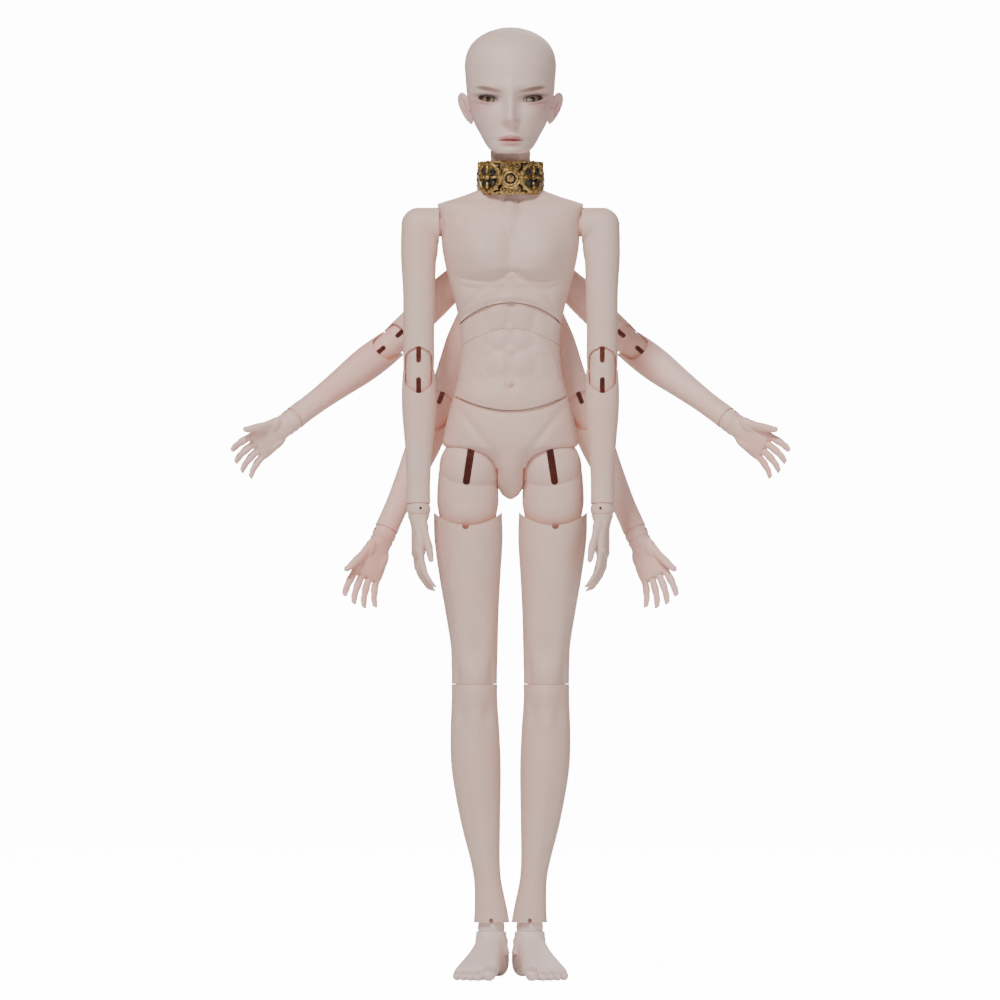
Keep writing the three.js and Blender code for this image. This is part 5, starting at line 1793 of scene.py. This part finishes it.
@dataclass
class Arms:
    """The six arms, four pieces each and a wrist ball, modelled once per kind and copied."""

    finishes: Finishes
    skeleton: Skeleton
    front_length: float = 97
    rear_length: float = 75.5
    fore_length: float = 90.5
    half_width: float = 12.2
    half_depth: float = 12.5
    fore_half: float = 11.9
    crease: float = 10
    shoulder_radius: float = 13
    rear_shoulder_radius: float = 10.2
    boss_radius: float = 8.6
    boss_reach: float = 15.1
    wrist_radius: float = 8.8
    rim_drop: float = 4.3
    bore: float = 3.2

    FRONT = (
        (0, 0.93, 0.84), (0.1, 0.95, 0.86), (0.24, 0.94, 0.9), (0.42, 0.97, 0.95), (0.6, 1, 1.01),
        (0.76, 1.05, 1.04), (0.88, 1.07, 1.05), (0.96, 1.07, 1.06), (1, 1.04, 1.04),
    )
    REAR = (
        (0, 0.94, 0.84), (0.1, 0.95, 0.86), (0.24, 0.94, 0.9), (0.6, 0.96, 0.93), (0.8, 0.86, 0.84), (1, 0.75, 0.73),
    )
    FORE = (
        (0, 0.74, 0.72), (0.06, 0.72, 0.7), (0.22, 0.74, 0.72), (0.45, 0.86, 0.84), (0.68, 0.99, 0.98),
        (0.86, 1.02, 0.97), (1, 0.97, 0.89),
    )
    # Turn, height, spread round, spread up and rise of each muscle
    UPPER_FORMS = ((-90, -55, 40, 22, 0.06), (90, -48, 38, 26, 0.06), (0, -26, 45, 12, 0.05), (0, -48, 14, 22, -0.04))
    FORE_FORMS = (
        (180, -18, 42, 17, 0.06), (-20, -14, 40, 15, 0.05), (-90, -44, 16, 30, -0.03), (20, -80, 22, 6, 0.06),
    )

    def hinge(self, pair: ArmPair) -> Hinge:
        """Gives the double hinge of the elbow, whose opening in the rear arms reaches further round."""
        return Hinge(9.9, 23, self.bore, 3.7, 12.5, -1, 57 if pair is ArmPair.FRONT else 70, self.finishes)

    def upper(self, pair: ArmPair) -> Piece:
        """Models a left upper arm with its shoulder ball at the origin.

        Args:
            pair: which pair it belongs to; both rear pairs share one shape.

        Returns:
            The upper arm.
        """
        front = pair is ArmPair.FRONT
        skin = self.finishes.skin if front else self.finishes.rear_skin
        length = self.front_length if front else self.rear_length
        rows = self.FRONT if front else self.REAR
        reach = length + self.crease - 0.03
        limb = Limb(rows, -reach, 0, self.half_width, self.half_depth, self.UPPER_FORMS)
        arm = limb.make("upper_arm", skin)
        radius = self.shoulder_radius if front else self.rear_shoulder_radius
        Bench.add(arm, Bench.ball(Vector(), radius, skin, 72))
        reach_in = Vector((-self.boss_reach, 0, 0))
        if front:
            drum = Bench.rod(reach_in, Vector(), radius - 0.02, skin, 72)
            Bench.add(arm, drum, Bench.ball(Vector((-3.2, 0, -15)), Vector((11.2, 12.2, 23)), skin, 64))
            Bench.melt(arm, 0.6, 6)
            Bench.add(arm, Bench.ball(reach_in, self.boss_radius, skin))
        low = Vector((0, 0, -length))
        Bench.cut(arm, *self.hinge(pair).room(low, self.crease, -1))
        Bench.cut(arm, Bench.rod(low, Vector(), self.bore, self.finishes.recess))
        away = 2 * reach_in if front else Vector((0, 0, 2 * radius))
        return Bench.cut(arm, Bench.rod(Vector(), away, self.bore, self.finishes.recess))

    def fore(self, pair: ArmPair) -> Piece:
        """Models a left forearm with its elbow pivot at the origin."""
        hinge = self.hinge(pair)
        top = hinge.span - self.crease - 0.03
        wrist = Vector((0, 0, -self.fore_length))
        limb = Limb(self.FORE, wrist.z + self.rim_drop, top, self.fore_half, self.fore_half, self.FORE_FORMS)
        arm = limb.make("forearm", self.finishes.skin)
        Bench.cut(arm, *hinge.room(Vector(), hinge.span - self.crease, 1))
        Bench.cut(arm, Bench.ball(wrist, self.wrist_radius + 0.4, self.finishes.socket, 64))
        return Bench.cut(arm, Bench.rod(wrist, Vector(), self.bore, self.finishes.recess))

    def wrist(self, skin: Material) -> Piece:
        """Models a wrist ball with its passage and its pinhole."""
        reach = Vector((0, 0, 2 * self.wrist_radius))
        ball = Bench.ball(Vector(), self.wrist_radius, skin, 64, "wrist")
        Bench.cut(ball, Bench.rod(-reach, reach, self.bore, self.finishes.recess))
        pinhole = Bench.rod(Vector((0, -12, 0)), Vector(), 1.1, self.finishes.recess, 20)
        return Bench.cut(ball, pinhole)

    def settings(self, pair: ArmPair) -> dict[str, Matrix]:
        """Gives where each piece of a left arm goes.

        Args:
            pair: which pair of arms.

        Returns:
            The matrix of each piece by the first word of its node's name.
        """
        name = f"{pair.value}_left"
        bones = self.skeleton
        shoulder, upper = bones.place(f"shoulder_{name}"), bones.place(f"elbow_upper_{name}")
        lower, wrist = bones.place(f"elbow_lower_{name}"), bones.place(f"wrist_turn_{name}")
        across = -bones.axis(f"elbow_upper_{name}")
        up, thumb = bones.axis(f"wrist_turn_{name}"), bones.axis(f"wrist_bend_{name}")
        fore = bones.setting(lower, across, lower - wrist)
        return {
            "upper_arm": bones.setting(shoulder, across, shoulder - upper),
            "elbow": bones.setting(upper, across, upper - lower),
            "forearm": fore,
            "wrist": bones.setting(wrist, thumb.cross(up), up),
            "hand": bones.setting(wrist, thumb.cross(up), up),
        }

    def dress(self, piece: Piece, skin: Material) -> Piece:
        """Gives a copied piece the skin of its pair of arms."""
        for slot in piece.material_slots:
            if slot.material in (self.finishes.skin, self.finishes.rear_skin):
                slot.material = skin
        return piece

    def build(self) -> None:
        """Makes all the pieces of the six arms."""
        skin = self.finishes.skin
        models = {
            "elbow": self.hinge(ArmPair.FRONT).link("elbow", skin),
            "wrist": self.wrist(skin),
            "hand": Hand(self.finishes).build(),
        }
        shapes = (ArmPair.FRONT, ArmPair.UPPER)
        limbs = {pair: {"upper_arm": self.upper(pair), "forearm": self.fore(pair)} for pair in shapes}
        for pair in ArmPair:
            dressed = skin if pair is ArmPair.FRONT else self.finishes.rear_skin
            chosen = models | limbs[ArmPair.FRONT if pair is ArmPair.FRONT else ArmPair.UPPER]
            for word, setting in self.settings(pair).items():
                model = chosen[word]
                for side in Side:
                    body = f"{word}_{pair.value}_{side.label}"
                    piece = self.dress(Bench.copy(model, f"{body}_cast"), dressed)
                    piece.data.transform(setting)
                    if side is Side.RIGHT:
                        Bench.mirror(piece)
                    Bench.finish(piece, body, "resin", body)
        for model in (*models.values(), *(limb for pair in limbs.values() for limb in pair.values())):
            bpy.data.objects.remove(model, do_unlink=True)


@dataclass
class Foot:
    """A foot with its toes along -Y, the big toe on the inner side and the sole flat."""

    finishes: Finishes
    length: float = 90
    width: float = 33
    heel_back: float = 23
    heel_half: float = 11
    instep: float = 34
    ankle_height: float = 37
    ankle_radius: float = 10
    toe_radius: float = 4.6
    splay: float = 12
    voxel: float = 0.7

    ROWS = (
        (0, 0.4, 0.26, 0.18), (0.04, 0.82, 0.62, 0), (0.14, 1, 0.95, 0), (0.25, 1.02, 1, 0), (0.38, 1.02, 0.92, 0),
        (0.55, 1.14, 0.7, 0), (0.74, 1.38, 0.47, 0), (0.88, 1.46, 0.32, 0), (0.93, 1.34, 0.26, 0),
    )
    TOES = ((-0.72, 0.94, 1.22), (-0.25, 0.965, 0.86), (0.12, 0.945, 0.84), (0.47, 0.92, 0.82), (0.8, 0.885, 0.8))

    def shape(self, up: float, turn: float) -> Vector:
        """Places one point of the foot without its toes, from the heel forward."""
        share = up * self.ROWS[-1][0]
        wide, high, lift = along(self.ROWS, share)
        close = min(1.0, up / 0.02, (1 - up) / 0.02) ** 0.5
        half = high * self.instep / 2
        middle = -self.ankle_height + lift * self.instep + half
        x = boxy(math.cos(turn), 0.82) * wide * self.heel_half * close
        z = middle + boxy(math.sin(turn), 0.82) * half * close
        arch = 2.2 * bell(share - 0.45, 0.14) * (1 if x < 0 else 0.4)
        lower = max(0.0, -math.sin(turn))
        x *= 1 - 0.12 * lower * bell(share - 0.45, 0.14)
        return Vector((x, self.heel_back - share * self.length, z + arch * lower))

    def build(self) -> Piece:
        """Models the left foot with the ankle's middle at the origin."""
        # The lighter skin of the feet is painted light.
        skin = self.finishes.foot_skin
        sole = -self.ankle_height
        foot = Bench.shaped("foot", self.shape, skin, 64, 96)
        neck = Limb(
            ((0, 1.25, 1.45, 0, 0), (0.4, 1.1, 1.15, 0, 0), (1, 1, 1, 0, 0)),
            sole + self.instep / 2, sole + self.instep, self.heel_half, self.heel_half,
        )
        flesh, nails = [foot, neck.make("neck", skin, 48, 32)], []
        for side in (-1, 1):
            flesh.append(Bench.ball(Vector((side * 8.6, 3, sole + 26)), Vector((3.6, 4.4, 4.6)), skin, 20))
        for across, along_foot, size in self.TOES:
            radius = self.toe_radius * size
            x = across * self.width / 2
            y = self.heel_back - along_foot * self.length
            tip = Vector((x, y - 0.3 * radius, sole + 0.86 * radius))
            flesh.append(Bench.ball(tip, Vector((0.9, 1.25, 0.92)) * radius, skin, 24))
            behind = tip + Vector((-0.06 * x, 1.6 * radius, 0.42 * radius))
            flesh.append(Bench.ball(behind, Vector((0.84, 1.7, 0.8)) * radius, skin, 24))
            nail = Bench.ball(Vector(), Vector((0.58, 0.62, 0.16)) * radius, self.finishes.skin, 20)
            nail.data.transform(Matrix.Rotation(math.radians(24), 4, "X"))
            nail.data.transform(Matrix.Translation((tip + Vector((0, -0.55 * radius, 0.72 * radius))) * MM))
            nails.append(nail)
        melted = Bench.melt(Bench.group("foot", flesh), self.voxel, 6)
        far = 2 * self.length
        Bench.cut(melted, Bench.block(Vector((-far, -far, sole - far)), Vector((far, far, sole + 0.05)), skin))
        Bench.cut(melted, Bench.ball(Vector(), self.ankle_radius + 0.4, self.finishes.socket, 64))
        whole = Bench.group("foot", [melted, *nails])
        whole.data.transform(Matrix.Rotation(math.radians(self.splay), 4, "Z"))
        return whole


@dataclass
class Legs:
    """Both legs: hip, thigh, knee link, calf, ankle ball and foot."""

    finishes: Finishes
    skeleton: Skeleton
    hip_half: tuple[float, float, float] = (22.6, 24.6, 24.6)
    plug_radius: float = 21.8
    shift: float = 1.4
    drop: float = 30
    thigh_half: tuple[float, float] = (25.6, 26.4)
    rim_dip: float = 10
    knee_drop: float = 118
    knee_shift: float = -4.9
    knee_radius: float = 14.2
    knee_span: float = 25
    crease: float = 9
    calf_half: tuple[float, float] = (18.4, 20.5)
    ankle_radius: float = 10
    bore: float = 5.5
    slot_width: float = 5.5

    HIP = ((0, 1, 0.98, 0, 0), (0.22, 1.045, 0.98, 0, 0), (0.7, 1.02, 0.95, 0, 0), (1, 0.98, 0.9, 0, 0))
    THIGH = (
        (0, 0.655, 0.66, -0.19, 0.02), (0.09, 0.66, 0.68, -0.19, 0.01), (0.22, 0.68, 0.7, -0.185, 0.02),
        (0.42, 0.77, 0.8, -0.12, 0.03), (0.62, 0.88, 0.92, -0.06, 0.02), (0.84, 0.985, 0.99, -0.02, 0),
        (1, 0.985, 0.985, 0, 0),
    )
    CALF = (
        (0, 0.72, 0.6, -0.685, -0.02), (0.05, 0.66, 0.58, -0.66, 0), (0.2, 0.55, 0.56, -0.5, 0.06),
        (0.42, 0.79, 0.76, -0.24, 0.12), (0.64, 0.98, 0.98, -0.07, 0.1), (0.8, 0.98, 0.97, -0.02, 0.06),
        (0.93, 0.92, 0.9, 0, 0), (1, 0.92, 0.88, 0, 0),
    )
    THIGH_FORMS = (
        (-60, -96, 18, 13, 0.08), (-124, -90, 18, 12, 0.1), (-90, -121, 22, 9, 0.24), (-44, -121, 9, 8, -0.07),
        (-136, -121, 9, 8, -0.07), (-90, -60, 34, 30, 0.05), (90, -60, 40, 34, 0.02), (-90, -102, 12, 8, -0.05),
        (-40, -60, 12, 40, -0.03),
    )
    CALF_FORMS = (
        (-90, 9, 22, 8, 0.2), (-58, -6, 12, 6, -0.07), (-122, -6, 12, 6, -0.07), (60, -46, 30, 26, 0.05),
        (125, -52, 30, 24, 0.05), (-90, -80, 14, 50, 0.05), (-90, -12, 12, 5, 0.07), (-62, -80, 12, 40, -0.03),
    )

    @property
    def hinge(self) -> Hinge:
        """The double hinge of the knee."""
        return Hinge(self.knee_radius, self.knee_span, self.bore, self.slot_width, 18.5, 1, 62, self.finishes)

    def hip(self) -> Piece:
        """Models the left hip piece with its joint at the origin."""
        skin, recess = self.finishes.skin, self.finishes.recess
        hip = Bench.ball(Vector(), Vector(self.hip_half), skin, 96, "hip")
        body = Limb(self.HIP, -31.7, -1.7, self.plug_radius, self.plug_radius, power=1.0)
        trunk = body.make("trunk", skin, 96, 40)
        trunk.data.transform(Matrix.Translation(Vector((self.shift, 0, 0)) * MM))
        place = Vector((self.shift, 0, -self.drop))
        Bench.add(hip, trunk, Bench.ball(place, self.plug_radius, skin, 96))
        Bench.cut(hip, Bench.slot(Vector((0, 0, 6.4)), self.slot_width, 38, 50, -8.6, -1, recess))
        return Bench.cut(hip, Bench.rod(Vector((0, 0, -60)), Vector((0, 0, 50)), self.bore, recess))

    def thigh(self) -> Piece:
        """Models the left thigh with its rim at the origin."""
        skin, recess = self.finishes.skin, self.finishes.recess
        knee = Vector((self.knee_shift, 0, -self.knee_drop))
        limb = Limb(self.THIGH, knee.z - self.crease + 0.12, 0, *self.thigh_half, self.THIGH_FORMS)
        thigh = limb.make("thigh", skin, 96, 140)
        arch = (self.thigh_half[0] ** 2 + self.rim_dip**2) / (2 * self.rim_dip)
        rise = arch - self.rim_dip
        Bench.cut(thigh, Bench.rod(Vector((0, 60, rise)), Vector((0, -60, rise)), arch, skin, 128))
        Bench.cut(thigh, Bench.ball(Vector((0, 0, 2)), self.plug_radius + 0.4, self.finishes.socket, 96))
        Bench.cut(thigh, *self.hinge.room(knee, self.crease, -1))
        Bench.cut(thigh, Bench.rod(knee, Vector(), self.bore, recess))
        return Bench.cut(thigh, Bench.slot(Vector((1.6, 0, -10)), 5.2, 5.8, 50, 0, -1, recess))

    def calf(self) -> Piece:
        """Models the left calf with its knee pivot at the origin."""
        skin, recess = self.finishes.skin, self.finishes.recess
        ankle = Vector((-12.3, 0, -163))
        limb = Limb(self.CALF, -159.5, self.knee_span - self.crease - 0.12, *self.calf_half, self.CALF_FORMS)
        calf = limb.make("calf", skin, 96, 140)
        Bench.cut(calf, *self.hinge.room(Vector(), self.knee_span - self.crease, 1))
        Bench.cut(calf, Bench.ball(ankle, self.ankle_radius + 0.4, self.finishes.socket, 64))
        Bench.cut(calf, Bench.rod(ankle, Vector(), self.bore, recess))
        return Bench.cut(calf, Bench.slot(Vector((ankle.x, 0, -159.5)), 3.0, 6.4, 40, 0, -1, recess))

    def ankle(self) -> Piece:
        """Models the ankle ball."""
        reach = Vector((0, 0, 2 * self.ankle_radius))
        # The ankle ball shares the feet's lighter skin, which is painted light.
        ball = Bench.ball(Vector(), self.ankle_radius, self.finishes.foot_skin, 64, "ankle")
        return Bench.cut(ball, Bench.rod(-reach, reach, 3.2, self.finishes.recess))

    def build(self) -> None:
        """Makes the pieces of both legs."""
        joints = {
            "hip": "hip_bend", "thigh": "thigh_turn", "knee": "knee_upper",
            "calf": "knee_lower", "ankle": "ankle_turn", "foot": "ankle_turn",
        }
        models = {
            "hip": self.hip(), "thigh": self.thigh(), "knee": self.hinge.link("knee", self.finishes.skin),
            "calf": self.calf(), "ankle": self.ankle(), "foot": Foot(self.finishes).build(),
        }
        for word, model in models.items():
            place = self.skeleton.place(f"{joints[word]}_left")
            model.data.transform(Matrix.Translation(place * MM))
            for side in Side:
                body = f"{word}_{side.label}"
                piece = Bench.copy(model, f"{body}_cast")
                if side is Side.RIGHT:
                    Bench.mirror(piece)
                Bench.finish(piece, body, "resin", body)
            bpy.data.objects.remove(model, do_unlink=True)


@dataclass
class Studio:
    """The white backdrop, the soft lights and the camera of the photo."""

    middle: float = 0.3515
    aside: float = -0.0077
    distance: float = 8.0
    view_width: float = 0.7368
    seen: float = 14.0
    glow: float = 0.24

    def backdrop(self) -> None:
        """Lays the flat pale floor."""
        bpy.ops.mesh.primitive_plane_add(size=1, location=(0, 0.6, -0.0005))
        floor = bpy.context.object
        floor.name = "studio_floor"
        floor.scale = (6, 5, 1)
        bpy.ops.object.transform_apply(location=True, rotation=True, scale=True)
        material = bpy.data.materials.new("studio white")
        material.use_nodes = True
        shader = material.node_tree.nodes["Principled BSDF"]
        dial(shader, "Base Color", tone(250, 250, 250))
        dial(shader, "Roughness", 0.9)
        dial(shader, "Emission Color", (1, 1, 1, 1))
        material.node_tree.links.new(self.brightness(material.node_tree, 0), shader.inputs["Emission Strength"])
        floor.data.materials.append(material)

    def brightness(self, tree: Tree, unseen: float) -> Socket:
        """Makes a surface bright white to the camera, and dimmer where it lights the doll.

        Args:
            tree: the shader's node tree.
            unseen: how strongly it lights the doll.

        Returns:
            The socket with the strength.
        """
        path = tree.nodes.new("ShaderNodeLightPath")
        strength = tree.nodes.new("ShaderNodeMapRange")
        dial(strength, "To Min", unseen)
        dial(strength, "To Max", self.seen)
        tree.links.new(path.outputs["Is Camera Ray"], strength.inputs["Value"])
        return strength.outputs["Result"]

    def light(self, name: str, place: Vector, size: float, power: float) -> None:
        """Adds a soft square light that faces the doll.

        Args:
            name: the light's name.
            place: where it hangs, in metres.
            size: its width.
            power: its power in watts.
        """
        lamp = bpy.data.lights.new(name, "AREA")
        lamp.shape = "SQUARE"
        lamp.size = size
        lamp.energy = power
        holder = bpy.data.objects.new(name, lamp)
        holder.location = place
        way = Vector((0, 0, self.middle)) - place
        holder.rotation_euler = way.to_track_quat("-Z", "Y").to_euler()
        bpy.context.scene.collection.objects.link(holder)

    def camera(self) -> None:
        """Sets the camera straight in front, far off as in the photo."""
        lens = bpy.data.cameras.new("photo camera")
        lens.sensor_width = 36
        lens.lens = lens.sensor_width * self.distance / self.view_width
        holder = bpy.data.objects.new("photo camera", lens)
        holder.location = (self.aside, -self.distance, self.middle)
        holder.rotation_euler = (math.pi / 2, 0, 0)
        bpy.context.scene.collection.objects.link(holder)
        bpy.context.scene.camera = holder

    def build(self) -> None:
        """Sets the whole studio."""
        self.backdrop()
        world = bpy.data.worlds.new("studio air")
        world.use_nodes = True
        air = world.node_tree.nodes["Background"]
        dial(air, "Color", (1, 1, 1, 1))
        world.node_tree.links.new(self.brightness(world.node_tree, self.glow), air.inputs["Strength"])
        bpy.context.scene.world = world
        self.light("key light", Vector((-0.7, -1.7, 2.3)), 0.7, 66)
        self.light("fill light", Vector((1.7, -2.2, 0.3)), 1.6, 19)
        self.light("back light", Vector((0.5, 2.1, 1.7)), 1.4, 26)
        self.camera()


def main() -> None:
    """Builds the doll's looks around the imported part."""
    logging.basicConfig(level=logging.INFO, format="%(name)s: %(message)s", stream=sys.stdout)
    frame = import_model()
    skeleton = Skeleton({row["name"]: row for row in frame["joints"]})
    finishes = Finishes()
    for assembly in (Torso, Collar, Head, Arms, Legs):
        LOG.info("building the %s", assembly.__name__.lower())
        assembly(finishes, skeleton).build()
    Studio().build()


if __name__ == "__main__":
    main()
